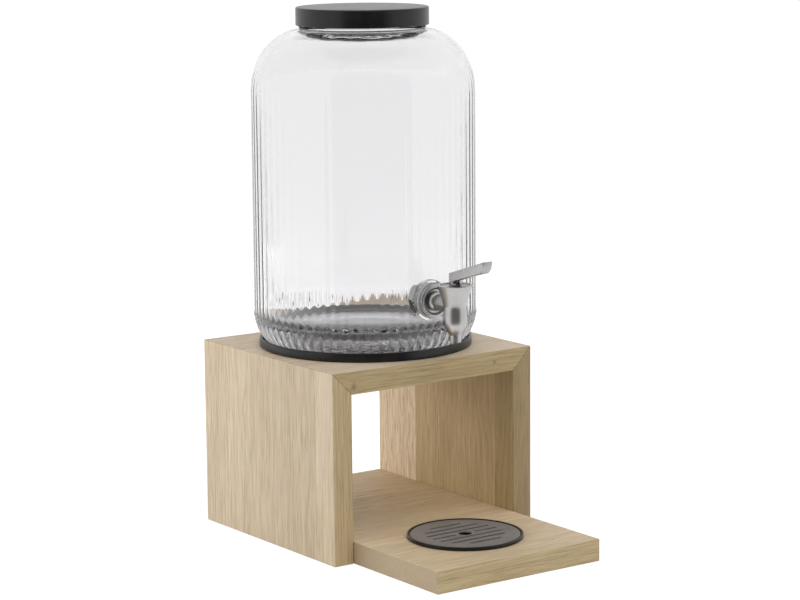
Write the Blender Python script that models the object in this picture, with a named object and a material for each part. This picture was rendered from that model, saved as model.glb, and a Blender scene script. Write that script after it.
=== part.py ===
"""Oak drink dispenser: a fluted glass jar with a steel tap, on an oak stand with a drip tray.

Metres, +Z up. The dispenser faces -Y. The origin lies on the floor, under the middle of the stand
and its base board.
"""
import math

import bmesh
import bpy
from mathutils import Matrix, Vector

# Clearances shared by all pieces
seat_gap = 0.0003
running_gap = 0.00008
overrun = 0.002

# Oak stand
stand_width = 0.216
stand_depth = 0.210
stand_height = 0.170
side_thickness = 0.020
top_thickness = 0.020
board_thickness = 0.020
board_reach = 0.122
oak_edge = 0.0008

# Flat biscuits in the mitres
biscuit_length = 0.050
biscuit_width = 0.014
biscuit_thickness = 0.004
biscuit_place_shares = (0.24, 0.76)

# Dowels between the side panels and the base board
dowel_radius = 0.004
dowel_length = 0.030
dowel_in_side = 0.012
dowel_place_shares = (0.17, 0.83)

# Base dish
dish_height = 0.0078
dish_wall = 0.003
dish_floor = 0.002
dish_play = 0.0014
dish_edge = 0.0008

# Glass jar
jar_radius = 0.1005
jar_wall = 0.004
jar_floor = 0.009
jar_heel_height = 0.0334
jar_heel_inset = 0.019
jar_punt_rise = 0.0025
jar_punt_margin = 0.011
jar_shoulder_start = 0.2274
jar_shoulder_height = 0.055
jar_neck_radius = 0.0545
jar_neck_height = 0.015
jar_bead_reach = 0.0027
jar_bead_height = 0.003
jar_lip = 0.001
flute_count = 72
flute_depth = 0.0012
flute_top_fade = 0.028
flute_foot_fade = 0.006

# Tap hole and the flat glass boss round it
tap_height = 0.0502
boss_radius = 0.018
boss_rise = 0.0005
pad_rise = 0.0012
shank_hole_play = 0.0008

# Lid
lid_height = 0.016
lid_wall = 0.0014
lid_play = 0.001
lid_edge = 0.0012
seal_thickness = 0.0026
seal_skirt_depth = 0.008
seal_skirt_wall = 0.002
seal_play = 0.0006

# Pieces on the tap's shank
shank_radius = 0.0078
shank_spare = 0.0025
thread_edge = 0.0008
outer_washer_radius = 0.016
outer_washer_thickness = 0.0025
escutcheon_radius = 0.0148
escutcheon_rim = 0.0031
escutcheon_step = 0.0014
escutcheon_step_width = 0.0013
escutcheon_seat = 0.002
escutcheon_edge = 0.0005
inner_washer_radius = 0.013
inner_washer_thickness = 0.002
plate_washer_radius = 0.0125
plate_washer_thickness = 0.0012
nut_radius = 0.0138
nut_thickness = 0.008

# Tap body
tap_standoff = 0.035
tap_rim_height = 0.0182
tap_rim_radius = 0.0155
tap_rim_edge = 0.0004
tap_waist_drop = 0.0195
tap_waist_radius = 0.0099
tap_belly_drop = 0.029
tap_belly_radius = 0.0104
tap_bowl_height = 0.015
tap_spout_radius = 0.0051
tap_spout_length = 0.0065
tap_cavity_radius = 0.0080
tap_outlet_radius = 0.0036
tap_seat_drop = 0.032
tap_seat_height = 0.0046
tap_arm_radius = 0.0070
tap_collar_radius = 0.0086
tap_collar_half_length = 0.006
tap_passage_radius = 0.0044
flare_power = 1.25
bowl_power = 1.35

# Bonnet, gasket, spring, stem and valve plug
bonnet_wall = 0.0027
bonnet_sink = 0.0006
bonnet_edge = 0.0003
bonnet_thickness = 0.003
bonnet_plug_depth = 0.0062
bonnet_hole_radius = 0.0008
bonnet_hole_depth = 0.0016
bonnet_hole_circle = 0.0086
bonnet_hole_count = 4
bonnet_hole_turn_share = 0.21
gasket_thickness = 0.0008
stem_radius = 0.0018
stem_eye_rise = 0.0019
stem_edge = 0.0006
stem_collar_radius = 0.0054
stem_collar_height = 0.0012
stem_tail_radius = 0.0016
stem_tail_length = 0.0042
spring_length = 0.0140
spring_wire_radius = 0.0005
spring_turns = 5
plug_radius = 0.0060
plug_tip_radius = 0.0030

# Lever and its pin
pin_radius = 0.0009
pin_height = 0.0047
fork_height = 0.0109
fork_plate = 0.0022
leg_thickness = 0.0024
fork_play = 0.0006
leg_back = 0.0026
leg_front = 0.0024
lever_toe = 0.0040
lever_length = 0.0464
lever_rise = 0.0264
lever_depth = 0.0073
lever_nose = 0.0088
lever_nose_drop = 0.0117
nose_shares = ((0.0, 0.1), (0.2, 0.42), (0.5, 0.74), (1.0, 1.0))
lever_edge = 0.0004
ridge_count = 6
ridge_pitch = 0.0046
ridge_width = 0.0016
ridge_depth = 0.0007
ridge_start = 0.0174

# Drip tray and grate
tray_radius = 0.0511
tray_centre_reach = 0.044
tray_lip = 0.0029
tray_lip_edge = 0.0007
tray_lip_width = 0.0024
tray_bowl_radius = 0.0465
tray_bowl_depth = 0.0105
tray_wall = 0.0012
grate_thickness = 0.0012
grate_sink = 0.0005
grate_play = 0.0004
grate_hole_radius = 0.006
slot_width = 0.0028
slot_pitch = 0.0099
slot_length_shares = (0.35, 0.60, 0.70, 0.72, 0.70, 0.60, 0.35)
slot_hole_margin = 0.0042

# Facets
jar_sides = 2 * flute_count
round_sides = 48
washer_sides = 32
small_sides = 24
nut_sides = 6

# Places that follow from the sizes above
stand_front = (board_reach - stand_depth) / 2
stand_back = stand_front + stand_depth
board_front = stand_front - board_reach
inner_half = stand_width / 2 - side_thickness
jar_y = stand_front + stand_depth / 2
dish_z = stand_height + seat_gap
jar_z = dish_z + dish_floor + seat_gap
jar_inner_radius = jar_radius - jar_wall
shoulder_z = jar_z + jar_shoulder_start
neck_z = shoulder_z + jar_shoulder_height
mouth_z = neck_z + jar_neck_height
mouth_radius = jar_neck_radius - jar_wall
foot_radius = jar_radius - jar_heel_inset
lid_radius = jar_neck_radius + jar_bead_reach + lid_play + lid_wall
lid_inner_radius = lid_radius - lid_wall
lid_top_z = mouth_z + seat_gap + seal_thickness + seat_gap + lid_wall
tap_z = jar_z + tap_height
boss_reach = jar_radius + boss_rise
pad_reach = jar_inner_radius - pad_rise
tap_reach = boss_reach + tap_standoff
tap_y = jar_y - tap_reach
rim_z = tap_z + tap_rim_height
spout_top_z = rim_z - tap_belly_drop - tap_bowl_height
spout_z = spout_top_z - tap_spout_length
shank_bore = shank_radius + seat_gap
washer_reach = boss_reach + seat_gap
escutcheon_reach = washer_reach + outer_washer_thickness + seat_gap
collar_reach = escutcheon_reach + escutcheon_seat + seat_gap
inner_washer_reach = pad_reach - seat_gap - inner_washer_thickness
plate_washer_reach = inner_washer_reach - seat_gap - plate_washer_thickness
nut_reach = plate_washer_reach - seat_gap - nut_thickness
shank_end_reach = nut_reach - shank_spare
bonnet_radius = tap_rim_radius - bonnet_wall - seat_gap
bonnet_top_z = rim_z - bonnet_sink
gasket_top_z = bonnet_top_z - bonnet_thickness - seat_gap
ledge_z = gasket_top_z - gasket_thickness - seat_gap
bonnet_bottom_z = bonnet_top_z - bonnet_thickness - bonnet_plug_depth
collar_top_z = bonnet_bottom_z - seat_gap - spring_length - seat_gap
plug_top_z = collar_top_z - stem_collar_height - seat_gap
seat_z = rim_z - tap_seat_drop
pin_z = bonnet_top_z + pin_height
fork_half = stem_radius + fork_play
lever_half = fork_half + leg_thickness
tray_y = stand_front - tray_centre_reach
tray_seat_z = board_thickness + seat_gap
tray_top_z = tray_seat_z + tray_lip
grate_top_z = tray_top_z - grate_sink
grate_radius = tray_radius - tray_lip_width - grate_play


def material(name, colour, roughness, metallic=0.0, alpha=1.0):
    """Make one material for one sub-part."""
    made = bpy.data.materials.new(name)
    made.use_nodes = True
    shader = made.node_tree.nodes["Principled BSDF"]
    shader.inputs["Base Color"].default_value = (*colour, 1.0)
    shader.inputs["Roughness"].default_value = roughness
    shader.inputs["Metallic"].default_value = metallic
    shader.inputs["Alpha"].default_value = alpha
    return made


def oak(name):
    return material(name, (0.56, 0.42, 0.26), 0.55)


def beech(name):
    return material(name, (0.62, 0.45, 0.28), 0.6)


def steel(name):
    return material(name, (0.60, 0.59, 0.57), 0.28, metallic=1.0)


def black_enamel(name):
    return material(name, (0.02, 0.02, 0.022), 0.4)


def soft_rubber(name, colour):
    return material(name, colour, 0.6)


def place(name, bm, finish, location=(0.0, 0.0, 0.0), parent=None, smooth=True):
    """Turn a bmesh into a named object at a world location."""
    bmesh.ops.recalc_face_normals(bm, faces=bm.faces)
    mesh = bpy.data.meshes.new(name)
    bm.to_mesh(mesh)
    bm.free()
    if smooth:
        mesh.shade_smooth()
        mesh.set_sharp_from_angle(angle=math.radians(32))
    if finish is not None:
        mesh.materials.append(finish)
    piece = bpy.data.objects.new(name, mesh)
    piece.location = location
    bpy.context.collection.objects.link(piece)
    if parent is not None:
        piece.parent = parent
        piece.location = Vector(location) - parent.location
    return piece


def helper(name, bm, location=(0.0, 0.0, 0.0)):
    """Make a shape that only adds to or cuts another piece."""
    shape = place(name, bm, None, location)
    shape.hide_render = True
    shape.display_type = "WIRE"
    return shape


def joint_empty(name, location):
    """Mark a joint, which the pieces that move with it are parented to."""
    empty = bpy.data.objects.new(name, None)
    empty.location = location
    bpy.context.collection.objects.link(empty)
    return empty


def combine(piece, other, operation):
    modifier = piece.modifiers.new(other.name, "BOOLEAN")
    modifier.object = other
    modifier.operation = operation
    modifier.solver = "EXACT"


def turned(outline, sides):
    """Spin an outline of (radius, height) points round the Z axis.

    An outline that starts and ends on the axis gets flat caps of one face each.
    """
    solid = outline[0][0] == 0.0
    rings = [point for point in outline if point[0] > 0.0]
    bm = bmesh.new()
    points = [bm.verts.new((radius, 0.0, height)) for radius, height in rings]
    edges = [bm.edges.new(pair) for pair in zip(points, points[1:])]
    if not solid:
        edges.append(bm.edges.new((points[-1], points[0])))
    bmesh.ops.spin(
        bm, geom=points + edges, cent=(0, 0, 0), axis=(0, 0, 1), angle=2 * math.pi, steps=sides,
        use_merge=True
    )
    if solid:
        rim = [edge for edge in bm.edges if edge.is_boundary]
        bmesh.ops.holes_fill(bm, edges=rim, sides=0)
    bmesh.ops.recalc_face_normals(bm, faces=bm.faces)
    return bm


def halve_rings(bm, sides, above):
    """Join every second corner of the rings above a height to the one before it."""
    columns = [[] for number in range(sides)]
    for vert in bm.verts:
        if vert.co.z > above:
            turn = math.atan2(vert.co.y, vert.co.x) / (2 * math.pi)
            columns[round(turn * sides) % sides].append(vert)
    for column in columns:
        column.sort(key=lambda vert: vert.co.z)
    joined = {}
    for kept, dropped in zip(columns[0::2], columns[1::2]):
        joined.update(zip(dropped, kept))
    bmesh.ops.weld_verts(bm, targetmap=joined)


def outward(bm):
    """Lay a turned shape on its side, so that its height points out of the jar, along -Y."""
    bmesh.ops.rotate(bm, verts=bm.verts, matrix=Matrix.Rotation(math.pi / 2, 3, "X"))
    return bm


def tube_outline(inner, outer, low, high):
    return [(inner, low), (outer, low), (outer, high), (inner, high)]


def rod_outline(radius, low, high):
    return [(0.0, low), (radius, low), (radius, high), (0.0, high)]


def elliptic_arc(centre, semi, start, end, steps):
    """Points of an ellipse from one angle to another, in degrees."""
    angles = [math.radians(start + (end - start) * step / steps) for step in range(steps + 1)]
    return [(centre[0] + semi[0] * math.cos(a), centre[1] + semi[1] * math.sin(a)) for a in angles]


def box(low, high):
    bm = bmesh.new()
    bmesh.ops.create_cube(bm, size=1.0)
    size = Vector(high) - Vector(low)
    bmesh.ops.scale(bm, vec=size, verts=bm.verts)
    bmesh.ops.translate(bm, vec=(Vector(low) + Vector(high)) / 2, verts=bm.verts)
    return bm


def prism(outline, span, across):
    """Extrude a closed outline. Across is the axis that it is extruded along, X or Y."""
    bm = bmesh.new()
    start, end = span
    if across == "Y":
        corners = [bm.verts.new((u, start, v)) for u, v in outline]
        step = Vector((0.0, end - start, 0.0))
    else:
        corners = [bm.verts.new((start, u, v)) for u, v in outline]
        step = Vector((end - start, 0.0, 0.0))
    face = bm.faces.new(corners)
    grown = bmesh.ops.extrude_face_region(bm, geom=[face])
    moved = [item for item in grown["geom"] if isinstance(item, bmesh.types.BMVert)]
    bmesh.ops.translate(bm, vec=step, verts=moved)
    bmesh.ops.recalc_face_normals(bm, faces=bm.faces)
    return bm


def ease_edges(bm, keep_sharp):
    """Round the edges of a board, all but those for which keep_sharp is true at both ends."""
    eased = [edge for edge in bm.edges if not all(keep_sharp(vert.co) for vert in edge.verts)]
    bmesh.ops.bevel(
        bm, geom=eased, offset=oak_edge, offset_type="OFFSET", segments=2, profile=0.5, affect="EDGES"
    )
    return bm


def mitre_frame(side):
    """The middle of a mitre, and its direction out of the top panel into the side panel."""
    middle = Vector((side * (stand_width / 2 - side_thickness / 2), 0.0, stand_height - top_thickness / 2))
    across = Vector((side * top_thickness, 0.0, -side_thickness)).normalized()
    return middle, across


def biscuit_shape(length, width, thickness, side, y):
    """A flat biscuit with round ends, lying square across a mitre and along the stand."""
    middle, across = mitre_frame(side)
    bm = bmesh.new()
    half = length / 2 - width / 2
    rounding = 6
    ends = []
    for sign, first in ((1, -90), (-1, 90)):
        for step in range(rounding + 1):
            turn = math.radians(first + 180 * step / rounding)
            ends.append((width / 2 * math.sin(turn), sign * half + width / 2 * math.cos(turn)))
    normal = across.cross(Vector((0.0, 1.0, 0.0)))
    base = middle + Vector((0.0, y, 0.0)) - normal * thickness / 2
    corners = [bm.verts.new(base + across * u + Vector((0.0, v, 0.0))) for u, v in ends]
    face = bm.faces.new(corners)
    grown = bmesh.ops.extrude_face_region(bm, geom=[face])
    moved = [item for item in grown["geom"] if isinstance(item, bmesh.types.BMVert)]
    bmesh.ops.translate(bm, vec=normal * thickness, verts=moved)
    return bm


def dowel_shape(radius, length, low_x, y):
    """A dowel along X, or the bore for one."""
    bm = turned(rod_outline(radius, 0.0, length), small_sides)
    bmesh.ops.rotate(bm, verts=bm.verts, matrix=Matrix.Rotation(math.pi / 2, 3, "Y"))
    bmesh.ops.translate(bm, vec=(low_x, y, board_thickness / 2), verts=bm.verts)
    return bm


def build_stand():
    """Two side panels, a mitred top panel and a base board, with their biscuits and dowels."""
    mitre_step = seat_gap * math.hypot(side_thickness, top_thickness) / top_thickness
    nearby = 2 * mitre_step
    top_z = stand_height
    under_z = stand_height - top_thickness
    half = stand_width / 2

    def on_mitre(point):
        on_outer = math.isclose(abs(point.x), half, abs_tol=nearby) and point.z > top_z - seat_gap
        on_inner = math.isclose(abs(point.x), inner_half, abs_tol=nearby) and point.z > under_z - seat_gap
        return on_outer or on_inner

    panels = {}
    for side, name in ((-1, "left_side_panel"), (1, "right_side_panel")):
        outer_x = side * half
        inner_x = side * inner_half
        outline = [(outer_x, 0.0), (inner_x, 0.0), (inner_x, under_z), (outer_x, top_z)]
        bm = ease_edges(prism(outline, (stand_front, stand_back), "Y"), on_mitre)
        panels[side] = place(name, bm, oak(name), smooth=False)
    outline = [
        (-half + mitre_step, top_z),
        (half - mitre_step, top_z),
        (inner_half - mitre_step, under_z),
        (-inner_half + mitre_step, under_z),
    ]
    bm = ease_edges(prism(outline, (stand_front, stand_back), "Y"), on_mitre)
    top_panel = place("top_panel", bm, oak("top_panel"), smooth=False)

    board_half = inner_half - seat_gap
    board = box((-board_half, board_front, 0.0), (board_half, stand_back, board_thickness))
    bm = ease_edges(board, lambda point: False)
    base_board = place("base_board", bm, oak("base_board"), smooth=False)
    pocket_radius = tray_bowl_radius + seat_gap
    pocket_floor = board_thickness - tray_bowl_depth - seat_gap
    pocket = helper(
        "tray_pocket",
        turned(rod_outline(pocket_radius, pocket_floor, board_thickness + overrun), round_sides),
        (0.0, tray_y, 0.0),
    )
    combine(base_board, pocket, "DIFFERENCE")

    for side, word in ((-1, "left"), (1, "right")):
        for number, share in enumerate(biscuit_place_shares, 1):
            y = stand_front + stand_depth * share
            name = f"mitre_biscuit_{word}_{number}"
            place(name, biscuit_shape(biscuit_length, biscuit_width, biscuit_thickness, side, y), beech(name))
            slot = helper(
                f"{name}_slot",
                biscuit_shape(
                    biscuit_length + 2 * seat_gap,
                    biscuit_width + 2 * seat_gap,
                    biscuit_thickness + 2 * seat_gap,
                    side,
                    y,
                ),
            )
            combine(panels[side], slot, "DIFFERENCE")
            combine(top_panel, slot, "DIFFERENCE")
        for number, share in enumerate(dowel_place_shares, 1):
            y = stand_front + stand_depth * share
            name = f"base_dowel_{word}_{number}"
            in_board = dowel_length - dowel_in_side
            low_x = inner_half - in_board if side > 0 else -inner_half - dowel_in_side
            place(name, dowel_shape(dowel_radius, dowel_length, low_x, y), beech(name))
            bore = helper(
                f"{name}_bore",
                dowel_shape(dowel_radius + seat_gap, dowel_length + 2 * seat_gap, low_x - seat_gap, y),
            )
            combine(panels[side], bore, "DIFFERENCE")
            combine(base_board, bore, "DIFFERENCE")


def heel_radius(height):
    """Radius of the jar's outside at a height above its base, within the heel."""
    share = max(0.0, 1.0 - height / jar_heel_height)
    return foot_radius + jar_heel_inset * math.sqrt(1.0 - share * share)


def build_base_dish(lift):
    """The shallow black dish that the jar stands in."""
    inner = heel_radius(dish_height - dish_floor - seat_gap) + dish_play
    outer = inner + dish_wall
    outline = [
        (0.0, 0.0),
        (outer, 0.0),
        (outer, dish_height - dish_edge),
        (outer - dish_edge, dish_height),
        (inner + dish_edge, dish_height),
        (inner, dish_height - dish_edge),
        (inner, dish_floor),
        (0.0, dish_floor),
    ]
    place("base_dish", turned(outline, round_sides), black_enamel("base_dish"), (0.0, jar_y, dish_z), lift)


def flute_share(height):
    """How much of the flutes' depth shows at a height above the jar's base."""
    top = jar_shoulder_start + flute_top_fade / 2
    from_foot = min(1.0, height / flute_foot_fade)
    from_top = min(1.0, max(0.0, (top - height) / flute_top_fade))
    return from_foot * from_top * from_top * (3.0 - 2.0 * from_top)


def build_jar(lift):
    """The glass jar: fluted wall, smooth shoulder, neck with a bead, and a flat boss with the tap hole."""
    heel = elliptic_arc((foot_radius, jar_heel_height), (jar_heel_inset, jar_heel_height), -90, 0, 5)
    fade_low = jar_shoulder_start - flute_top_fade / 2
    shoulder_inset = jar_radius - jar_neck_radius
    shoulder = elliptic_arc(
        (jar_neck_radius, jar_shoulder_start), (shoulder_inset, jar_shoulder_height), 0, 90, 7
    )
    neck = jar_shoulder_start + jar_shoulder_height
    bead = elliptic_arc(
        (jar_neck_radius, neck + jar_bead_height / 2), (jar_bead_reach, jar_bead_height / 2), -90, 90, 3
    )
    top = neck + jar_neck_height
    outline = [(0.0, jar_punt_rise), (foot_radius - jar_punt_margin, 0.0)]
    outline += heel
    outline += [(jar_radius, fade_low), (jar_radius, jar_shoulder_start - flute_top_fade / 4)]
    outline += shoulder[:-1] + bead
    outline += [(jar_neck_radius, top - jar_lip), (jar_neck_radius - jar_lip, top), (0.0, top)]
    bm = turned(outline, jar_sides)
    for vert in bm.verts:
        radius = math.hypot(vert.co.x, vert.co.y)
        if radius < foot_radius:
            continue
        wave = (1.0 - math.cos(flute_count * math.atan2(vert.co.y, vert.co.x))) / 2
        inset = flute_depth * wave * flute_share(vert.co.z)
        vert.co.x *= 1.0 - inset / radius
        vert.co.y *= 1.0 - inset / radius
    halve_rings(bm, jar_sides, shoulder[1][1] - jar_lip)
    glass = material("glass_jar", (0.93, 0.95, 0.95), 0.03, alpha=0.35)
    jar = place("glass_jar", bm, glass, (0.0, jar_y, jar_z), lift)

    inner_foot = foot_radius - jar_wall
    hollow = [(0.0, jar_floor)]
    hollow += elliptic_arc(
        (inner_foot, jar_heel_height), (jar_inner_radius - inner_foot, jar_heel_height - jar_floor), -90, 0, 5
    )
    hollow += elliptic_arc(
        (mouth_radius, jar_shoulder_start),
        (jar_inner_radius - mouth_radius, jar_shoulder_height - jar_wall),
        0,
        90,
        6,
    )
    hollow += [(mouth_radius, top + overrun), (0.0, top + overrun)]
    combine(jar, helper("jar_hollow", turned(hollow, round_sides), (0.0, jar_y, jar_z)), "DIFFERENCE")
    boss = outward(turned(rod_outline(boss_radius, pad_reach, boss_reach), round_sides))
    combine(jar, helper("jar_boss", boss, (0.0, jar_y, tap_z)), "UNION")
    hole_radius = shank_radius + shank_hole_play
    hole = outward(turned(rod_outline(hole_radius, pad_reach - overrun, boss_reach + overrun), small_sides))
    combine(jar, helper("jar_tap_hole", hole, (0.0, jar_y, tap_z)), "DIFFERENCE")


def build_lid(lift):
    """The black lid shell and the soft seal inside it."""
    skirt_z = lid_top_z - lid_height
    inner_top = lid_height - lid_wall
    outline = [
        (lid_inner_radius, 0.0),
        (lid_radius, 0.0),
        (lid_radius, lid_height - lid_edge),
    ]
    outline += elliptic_arc((lid_radius - lid_edge, lid_height - lid_edge), (lid_edge, lid_edge), 30, 90, 2)
    outline = [(0.0, inner_top), (lid_inner_radius, inner_top)] + outline + [(0.0, lid_height)]
    place("lid_shell", turned(outline, round_sides), black_enamel("lid_shell"), (0.0, jar_y, skirt_z), lift)
    skirt_radius = mouth_radius - seal_play
    outline = [
        (skirt_radius - seal_skirt_wall, -seal_skirt_depth),
        (skirt_radius, -seal_skirt_depth),
        (skirt_radius, 0.0),
        (lid_inner_radius - seat_gap, 0.0),
        (lid_inner_radius - seat_gap, seal_thickness),
        (skirt_radius - seal_skirt_wall, seal_thickness),
    ]
    seal = soft_rubber("lid_seal", (0.80, 0.80, 0.78))
    place("lid_seal", turned(outline, round_sides), seal, (0.0, jar_y, mouth_z + seat_gap), lift)


def shank_piece(name, outline, finish, lift, sides=washer_sides):
    """A round piece on the tap's shank. Its heights are reaches out from the jar's axis."""
    return place(name, outward(turned(outline, sides)), finish, (0.0, jar_y, tap_z), lift)


def build_shank_pieces(lift):
    """Washers, escutcheon and lock nut on the shank."""
    washer_end = washer_reach + outer_washer_thickness
    outline = tube_outline(shank_bore, outer_washer_radius, washer_reach, washer_end)
    shank_piece("outer_washer", outline, soft_rubber("outer_washer", (0.78, 0.79, 0.79)), lift)

    low = escutcheon_reach
    rim = low + escutcheon_rim
    step = rim + escutcheon_step
    inner_step = escutcheon_radius - 2 * escutcheon_step_width
    outline = [
        (shank_bore, low),
        (escutcheon_radius, low),
        (escutcheon_radius, rim - escutcheon_edge),
        (escutcheon_radius - escutcheon_edge, rim),
        (escutcheon_radius - escutcheon_step_width, rim),
        (escutcheon_radius - escutcheon_step_width, step),
        (inner_step, step),
        (tap_collar_radius + escutcheon_step, low + escutcheon_seat),
        (shank_bore, low + escutcheon_seat),
    ]
    shank_piece("tap_escutcheon", outline, steel("tap_escutcheon"), lift)

    outline = tube_outline(
        shank_bore, inner_washer_radius, inner_washer_reach, inner_washer_reach + inner_washer_thickness
    )
    shank_piece("inner_washer", outline, soft_rubber("inner_washer", (0.78, 0.79, 0.79)), lift, small_sides)
    outline = tube_outline(
        shank_bore, plate_washer_radius, plate_washer_reach, plate_washer_reach + plate_washer_thickness
    )
    shank_piece("plate_washer", outline, steel("plate_washer"), lift, small_sides)
    outline = rod_outline(nut_radius, nut_reach, nut_reach + nut_thickness)
    nut = shank_piece("lock_nut", outline, steel("lock_nut"), lift, nut_sides)
    bore = outward(turned(rod_outline(shank_bore, nut_reach - overrun, plate_washer_reach), small_sides))
    combine(nut, helper("lock_nut_bore", bore, (0.0, jar_y, tap_z)), "DIFFERENCE")


def goblet_outline():
    """Outside of the tap body from the spout's mouth up to the rim, with heights from the shank's axis."""
    rim = tap_rim_height
    waist = rim - tap_waist_drop
    belly = rim - tap_belly_drop
    bowl_foot = belly - tap_bowl_height
    mouth = bowl_foot - tap_spout_length
    outline = [(0.0, mouth), (tap_spout_radius, mouth)]
    bowl_steps = 6
    for step in range(bowl_steps + 1):
        down = 1.0 - step / bowl_steps
        swell = math.cos(math.pi / 2 * down ** bowl_power)
        radius = tap_spout_radius + (tap_belly_radius - tap_spout_radius) * swell
        outline.append((radius, belly - tap_bowl_height * down))
    waist_steps = 3
    for step in range(1, waist_steps + 1):
        up = step / waist_steps
        blend = (1.0 - math.cos(math.pi * up)) / 2
        radius = tap_belly_radius + (tap_waist_radius - tap_belly_radius) * blend
        outline.append((radius, belly + (waist - belly) * up))
    flare_steps = 5
    flare_height = tap_waist_drop - tap_rim_edge
    for step in range(1, flare_steps + 1):
        up = step / flare_steps
        radius = tap_waist_radius + (tap_rim_radius - tap_waist_radius) * up ** flare_power
        outline.append((radius, waist + flare_height * up))
    outline += [(tap_rim_radius - tap_rim_edge, rim), (0.0, rim)]
    return outline


def build_tap_body(lift):
    """The goblet, its arm and threaded shank in one casting, with the cavity and the passage cut in it."""
    at_tap = (0.0, tap_y, tap_z)
    body = place("tap_body", turned(goblet_outline(), small_sides), steel("tap_body"), at_tap, lift)
    ball_start = math.degrees(math.acos(shank_radius / tap_collar_radius))
    ball_end = math.degrees(math.acos(tap_arm_radius / tap_collar_radius))
    ball_reach = collar_reach + tap_collar_half_length * math.sin(math.radians(ball_start))
    arm = [
        (0.0, shank_end_reach),
        (shank_radius - thread_edge, shank_end_reach),
        (shank_radius, shank_end_reach + thread_edge),
    ]
    ball_size = (tap_collar_radius, tap_collar_half_length)
    arm += elliptic_arc((0.0, ball_reach), ball_size, -ball_start, ball_end, 6)
    arm += [(tap_arm_radius, tap_reach), (0.0, tap_reach)]
    combine(body, helper("tap_arm", outward(turned(arm, small_sides)), (0.0, jar_y, tap_z)), "UNION")
    recess_radius = bonnet_radius + seat_gap
    cavity = [
        (0.0, spout_z - overrun),
        (tap_outlet_radius, spout_z - overrun),
        (tap_outlet_radius, seat_z - tap_seat_height),
        (tap_cavity_radius, seat_z),
        (tap_cavity_radius, ledge_z),
        (recess_radius, ledge_z),
        (recess_radius, rim_z + overrun),
        (0.0, rim_z + overrun),
    ]
    combine(body, helper("tap_cavity", turned(cavity, small_sides), (0.0, tap_y, 0.0)), "DIFFERENCE")
    passage_outline = rod_outline(tap_passage_radius, shank_end_reach - overrun, tap_reach)
    passage = outward(turned(passage_outline, small_sides))
    combine(body, helper("tap_passage", passage, (0.0, jar_y, tap_z)), "DIFFERENCE")


def tap_turned(name, outline, finish, parent):
    """A turned piece on the tap's upright axis. Its heights are world heights."""
    bm = turned(outline, small_sides)
    bmesh.ops.translate(bm, vec=(0.0, 0.0, -tap_z), verts=bm.verts)
    return place(name, bm, finish, (0.0, tap_y, tap_z), parent)


def build_valve(lift, stem_lift):
    """Bonnet and gasket, which stay, and the spring, stem and valve plug, which the lever lifts."""
    bore = stem_radius + running_gap
    plug_outer = tap_cavity_radius - seat_gap
    outline = [
        (bore, bonnet_bottom_z),
        (plug_outer, bonnet_bottom_z),
        (plug_outer, bonnet_top_z - bonnet_thickness),
        (bonnet_radius, bonnet_top_z - bonnet_thickness),
        (bonnet_radius, bonnet_top_z - bonnet_edge),
        (bonnet_radius - bonnet_edge, bonnet_top_z),
        (bore, bonnet_top_z),
    ]
    bonnet = tap_turned("bonnet", outline, steel("bonnet"), lift)
    holes = bmesh.new()
    for number in range(bonnet_hole_count):
        turn = 2 * math.pi * (number + bonnet_hole_turn_share) / bonnet_hole_count
        spot = Vector((math.cos(turn), math.sin(turn), 0.0)) * bonnet_hole_circle
        drill = bmesh.ops.create_cone(
            holes,
            cap_ends=True,
            segments=8,
            radius1=bonnet_hole_radius,
            radius2=bonnet_hole_radius,
            depth=2 * bonnet_hole_depth,
        )
        bmesh.ops.translate(holes, vec=spot, verts=drill["verts"])
    combine(bonnet, helper("bonnet_holes", holes, (0.0, tap_y, bonnet_top_z)), "DIFFERENCE")

    outline = tube_outline(tap_cavity_radius, bonnet_radius, gasket_top_z - gasket_thickness, gasket_top_z)
    tap_turned("bonnet_gasket", outline, soft_rubber("bonnet_gasket", (0.75, 0.75, 0.73)), lift)

    eye_top = pin_z + stem_eye_rise
    outline = [
        (0.0, plug_top_z - stem_tail_length),
        (stem_tail_radius, plug_top_z - stem_tail_length),
        (stem_tail_radius, collar_top_z - stem_collar_height),
        (stem_collar_radius, collar_top_z - stem_collar_height),
        (stem_collar_radius, collar_top_z),
        (stem_radius, collar_top_z),
        (stem_radius, eye_top - stem_edge),
        (stem_radius - stem_edge, eye_top),
        (0.0, eye_top),
    ]
    stem = tap_turned("valve_stem", outline, steel("valve_stem"), stem_lift)
    eye_half = stem_radius + overrun
    eye = turned(rod_outline(pin_radius + running_gap, -eye_half, eye_half), small_sides)
    bmesh.ops.rotate(eye, verts=eye.verts, matrix=Matrix.Rotation(math.pi / 2, 3, "Y"))
    combine(stem, helper("stem_eye", eye, (0.0, tap_y, pin_z)), "DIFFERENCE")

    tail_bore = stem_tail_radius + seat_gap
    slope = (tap_cavity_radius - tap_outlet_radius) / tap_seat_height
    seat_offset = seat_gap * math.hypot(slope, 1.0) / slope
    cone_top = seat_z - (tap_cavity_radius - plug_radius) / slope + seat_offset
    cone_foot = seat_z - (tap_cavity_radius - plug_tip_radius) / slope + seat_offset
    socket_floor = plug_top_z - stem_tail_length - seat_gap
    outline = [
        (0.0, cone_foot),
        (plug_tip_radius, cone_foot),
        (plug_radius, cone_top),
        (plug_radius, plug_top_z),
        (tail_bore, plug_top_z),
        (tail_bore, socket_floor),
        (0.0, socket_floor),
    ]
    tap_turned("valve_plug", outline, soft_rubber("valve_plug", (0.75, 0.75, 0.73)), stem_lift)
    build_spring(stem_lift)


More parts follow.
